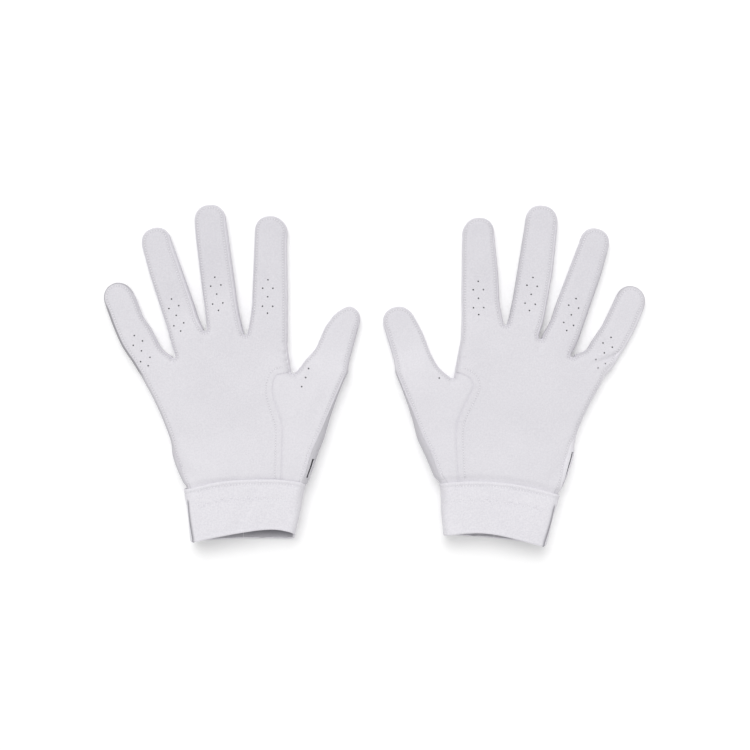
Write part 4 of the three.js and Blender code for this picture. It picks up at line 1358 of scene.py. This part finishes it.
    def make_strap(self):
        x, half = self.strap_side(0, np.linspace(8, 90, 11))
        v = np.sin(np.radians(np.linspace(-90, 90, 25)))
        grid_x = x[:, None] + 0 * v
        grid_y = half[:, None] * v
        inside = np.minimum(half[:, None] - np.abs(grid_y), strap_end - grid_x)
        inside = np.minimum(inside, grid_x - strap_root)
        seam = inside - strap_stitch_inset
        points = self.strap_spots(grid_x, grid_y)
        points[..., 2] -= 1.36 - 0.3 * np.exp(-inside / 0.4) - 0.22 * np.exp(-(seam / 0.5) ** 2)
        faces = self.outward(grid_faces(*grid_x.shape).reshape(-1, 4)[:, [0, 3, 2, 1]])
        marks = np.column_stack([np.abs(seam).ravel(), inside.ravel(), (grid_x + grid_y).ravel(),
                                 np.zeros(inside.size)])
        cut = Cut(self.in_frame(points.reshape(-1, 3)), faces, marks).find_lay()
        if cut.lay[:, 2].mean() > 0:
            cut.faces = [face[::-1] for face in cut.faces]
            cut.find_lay()
        strap = sewn(f"{self.side}_strap_leather", cut, palm_leather, strap_thickness)
        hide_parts(f"{self.side}_strap", f"{self.side}_strap_base")
        self.peels(strap)
        self.make_strap_stitches()
        self.make_patches()

    def make_strap_stitches(self):
        """A row of stitches round the strap, and one across the end of its sewn base."""
        x, half = self.strap_side(strap_stitch_inset, np.linspace(6, 90, 12))
        ring = (np.concatenate([x, x[::-1], x[:1]]), np.concatenate([half, -half[::-1], half[:1]]))
        reach = strap_width / 2 - 2
        across = (np.full(12, strap_root + base_seam), np.linspace(-reach, reach, 12))
        rows = []
        for row in (ring, across):
            line = self.strap_spots(*row) - (0, 0, strap_thread)
            rows.append(stitched_row(line, np.broadcast_to([0, 0, -1.0], line.shape), 2.4, 1.7))
        self.peels(self.stitches(f"{self.side}_strap_stitches", rows))

    def peels(self, piece):
        hinge = np.array(self.peel["pos_m"]) / MM
        way = np.append(self.across, 0) * (self.mirror, 1, 1)
        start, end = hinge - way * peel_back, hinge + way * peel_ahead
        tuple(start * MM)
        tuple(end * MM)
        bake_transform(piece)

    def make_patches(self):
        """The hook patch on the tongue and the loop patch on the cuff under it."""
        side = self.side
        x = strap_end + 0.3 - pile_length / 2 - 3
        middle = self.at_wrist(x, -strap_drop - cuff_arch)
        lean = math.radians(self.hand["cuff_lean"]) * self.mirror
        for name, finish, levels in (("hook", hook_pile, hook_levels), ("loop", loop_pile, loop_levels)):
            low, high = levels
            place = self.in_frame([np.append(middle, (low + high) / 2)])[0] * MM
            bpy.ops.mesh.primitive_cube_add(size=1, location=tuple(place), rotation=(0, 0, lean))
            patch = bpy.context.object
            patch.name = f"{side}_{name}_pile"
            patch.scale = (pile_length * MM, pile_width * MM, (high - low) * MM)
            bpy.ops.object.transform_apply(location=True, rotation=True, scale=True)
            upright = patch.data.attributes.new("bevel_weight_edge", "FLOAT", "EDGE")
            for line in patch.data.edges:
                start, end = (patch.data.vertices[knot].co for knot in line.vertices)
                upright.data[line.index].value = 1.0 if abs(start.z - end.z) > 1e-4 else 0.0
            finished(patch, "BEVEL", width=3 * MM, segments=6, limit_method="WEIGHT")
            finished(patch, "BEVEL", width=0.25 * MM, segments=2, limit_method="ANGLE")
            shaded(patch, 35)
            patch.data.materials.clear()
            patch.data.materials.append(finish)
            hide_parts(f"{side}_{name}_patch")
            self.ride(patch, f"{side}_strap_tongue" if name == "hook" else "hands")

    # stitches and piping
    def stitches(self, name, rows):
        """One piece of all the stitches in these rows."""
        faces, count = [], 0
        for points, row_faces in rows:
            faces += renumbered(row_faces, count)
            count += len(points)
        points = np.vstack([row[0] for row in rows])
        piece = laid(name, self.in_frame(points), self.outward(faces), sewing_thread)
        only(piece)
        bpy.ops.object.shade_smooth()
        return piece

    def on_front(self, spots, stitched):
        points, ways, depth_in = self.skin(spots, 1)
        raised = self.height(spots, 1, depth_in, np.full(len(spots), stitched), np.full(len(spots), stitched))
        points = points + ways * (raised + 0.09)[:, None]
        return self.tucked(points, ways, spots), ways

    def make_stitches(self):
        side = self.side
        start, end = self.spots_above("little_edge", "thumb_edge", stitches_end)
        edge = self.outline + self.inward * (self.front_inset + stitch_inset)[:, None]
        hand_line = measured(edge[start:self.spots_at("index_side")[0]], 0.5)
        thumb_line = measured(edge[self.spots_at("thumb_left")[0]:end], 0.5)
        seam_row = self.seam.points - self.seam_in * seam_stitch_inset
        _, seam_drop = self.from_wrist(seam_row)
        seam_row = measured(seam_row[seam_drop < stitches_end], 0.5)
        rows = {name: [] for name in fingers + ["hand", "thumb"]}
        owner = self.owners(hand_line)
        breaks = np.flatnonzero(np.diff(owner)) + 1
        for part in np.split(np.arange(len(hand_line)), breaks):
            if len(part) >= 4:
                name = "hand" if owner[part[0]] < 0 else fingers[owner[part[0]]]
                rows[name].append(stitched_row(*self.on_front(hand_line[part], stitch_inset)))
        rows["hand"].append(stitched_row(*self.on_front(seam_row, seam_stitch_inset)))
        rows["thumb"].append(stitched_row(*self.on_front(thumb_line, stitch_inset)))
        self.ride(self.stitches(f"{side}_palm_stitches", rows["hand"]))
        for name in fingers + ["thumb"]:
            self.bends(self.stitches(f"{side}_{name}_stitches", rows[name]), name)

    def make_cuff_stitches(self):
        lane = np.linspace(-1, 1, 400)
        top, _ = self.cuff_edges(lane * 0.7)
        rows = []
        for fall, out in ((band_row, 0.45), (zigzag_row + self.zigzag(lane), 0.5)):
            points, _ = self.cuff_surface(lane, 0 * lane, 0 * lane + math.pi / 2, top + fall, 0 * lane + out)
            rows.append(stitched_row(points, np.broadcast_to([0, 0, 1.0], points.shape), 2.0, 1.45))
        tuck = turned(seam_reach / (palm_round * side_share)) + 0.16
        drop = np.linspace(2, 31, 60)
        points, ways = self.cuff_surface(0 * drop - 1, 0 * drop - 1, 0 * drop + tuck, drop, 0 * drop)
        ways = np.column_stack([ways[:, 0], 0 * drop, ways[:, 1]])
        rows.append(stitched_row(points, ways, 1.9, 1.35))
        self.ride(self.stitches(f"{self.side}_cuff_stitches", rows))

    def make_piping(self):
        """The corded edge of the thumb's panel, down its outer side."""
        keep = self.spots_at("thumb_edge")[:-3]
        inset = self.front_inset[keep] - 0.15
        spots = self.outline[keep] + self.inward[keep] * inset[:, None]
        points, ways, _ = self.skin(spots, 1)
        points = self.tucked(points + ways * 0.05, ways, spots)
        way = np.gradient(points, axis=0)
        way /= np.linalg.norm(way, axis=1, keepdims=True)
        side_way = np.cross(way, ways)
        turn = np.radians(np.arange(0, 360, 40))
        from_ends = np.minimum(np.arange(len(points)), np.arange(len(points))[::-1])
        size = 0.5 * smooth(from_ends, -1, 5)
        ring = np.cos(turn)[None, :, None] * ways[:, None] + np.sin(turn)[None, :, None] * side_way[:, None]
        tube = points[:, None] + ring * size[:, None, None]
        count, width = tube.shape[:2]
        corners = np.arange(count * width).reshape(count, width)
        after = np.roll(corners, -1, 1)
        faces = np.stack([corners[:-1], after[:-1], after[1:], corners[1:]], -1).reshape(-1, 4).tolist()
        faces += [corners[0, ::-1].tolist(), corners[-1].tolist()]
        away = np.full(count * width, unsewn)
        piece = laid(f"{self.side}_thumb_piping", self.in_frame(tube.reshape(-1, 3)), self.outward(faces),
                     palm_leather, from_stitches=away, from_edge=away, soiled=0 * away,
                     seam_run=np.repeat(self.rim.run[keep], width))
        only(piece)
        bpy.ops.object.mode_set(mode="EDIT")
        bpy.ops.mesh.select_all(action="SELECT")
        bpy.ops.mesh.normals_make_consistent(inside=False)
        bpy.ops.object.mode_set(mode="OBJECT")
        shaded(piece)
        self.bends(piece, "thumb")


def one_stitch():
    """A single stitch, modelled once: its points, along z, and its faces."""
    bpy.ops.mesh.primitive_uv_sphere_add(segments=6, ring_count=4, radius=1)
    ball = bpy.context.object
    points = np.array([tuple(knot.co) for knot in ball.data.vertices])
    faces = [tuple(face.vertices) for face in ball.data.polygons]
    points[:, :2] *= (1 - 0.25 * points[:, 2:] ** 2)
    bpy.data.objects.remove(ball)
    return points, faces


def stitched_row(line, ways, pitch=stitch_pitch, length=1.2, width=0.3, height=0.22):
    """Stitches along a line of points, lying on the skin whose way out is given."""
    run = run_along(line)
    marks = np.arange(pitch / 2, run[-1], pitch)
    middle, out = at_marks(marks, run, line), at_marks(marks, run, ways)
    way = at_marks(marks + 0.3, run, line) - at_marks(marks - 0.3, run, line)
    way /= np.maximum(np.linalg.norm(way, axis=1, keepdims=True), 1e-9)
    out -= way * (out * way).sum(1, keepdims=True)
    out /= np.maximum(np.linalg.norm(out, axis=1, keepdims=True), 1e-9)
    over = np.cross(out, way)
    knots = (middle[:, None] + way[:, None] * stitch_points[:, 2:3] * length / 2
             + over[:, None] * stitch_points[:, :1] * width + out[:, None] * stitch_points[:, 1:2] * height)
    faces = []
    for number in range(len(marks)):
        faces += renumbered(stitch_faces, number * len(stitch_points))
    return knots.reshape(-1, 3), faces


stitch_points, stitch_faces = one_stitch()
gloves = [Glove(side, hand) for side, hand in hands.items()]
for glove in gloves:
    glove.make_panels()
    glove.make_back()
    glove.make_strips()
    glove.make_cuff()
    glove.make_strap()
    glove.make_stitches()
    glove.make_cuff_stitches()
    glove.make_piping()

# light, floor and camera
photo_centre = np.array([375, 375])
right_wrist_pixel = np.array([245, 483])
pixels_per_mm = 1.5
camera_height = 1.677
to_centre = (photo_centre - right_wrist_pixel) * (1, -1) / pixels_per_mm
photo_middle = (gloves[0].origin[:2] + to_centre) * MM
scene = bpy.context.scene
scene.view_settings.view_transform = "Standard"
bpy.ops.object.camera_add(location=(*photo_middle, camera_height), rotation=(0, 0, 0))
camera = bpy.context.object
camera.data.lens = 120
camera.data.sensor_width = 36
camera.data.clip_end = 20
scene.camera = camera

bpy.ops.object.light_add(type="SUN", rotation=(math.radians(-19), math.radians(-5), 0))
key = bpy.context.object
key.data.energy = 1.3
key.data.angle = math.radians(30)

scene.world = bpy.data.worlds.new("studio")
scene.world.use_nodes = True
studio = Nodes(scene.world.node_tree)
sky, white = (studio.node("ShaderNodeBackground", {}, {"Color": (1, 1, 1, 1), "Strength": strength}, 0)
              for strength in (0.6, 1))
seen, glossy, through = (studio.node("ShaderNodeLightPath", {}, {}, f"Is {ray} Ray")
                         for ray in ("Camera", "Glossy", "Transmission"))
straight = seen.math("MAXIMUM", glossy).math("MAXIMUM", through)
studio.ends("ShaderNodeOutputWorld", studio.node("ShaderNodeMixShader", {}, {0: straight, 1: sky, 2: white}))

bpy.ops.mesh.primitive_plane_add(size=6, location=(0, 0, -0.0002))
floor = bpy.context.object
floor.name = "floor"
paper = Finish("paper", 0.9, Base_Color=(0.96, 0.96, 0.96, 1), Emission_Strength=1)
path = paper.node("ShaderNodeLightPath", {}, {}, "Is Camera Ray")
paper.feed(paper.shader.inputs["Emission Color"], paper.mixed(path, (0, 0, 0, 1), (0.14, 0.14, 0.14, 1)))
floor.data.materials.append(paper.material)
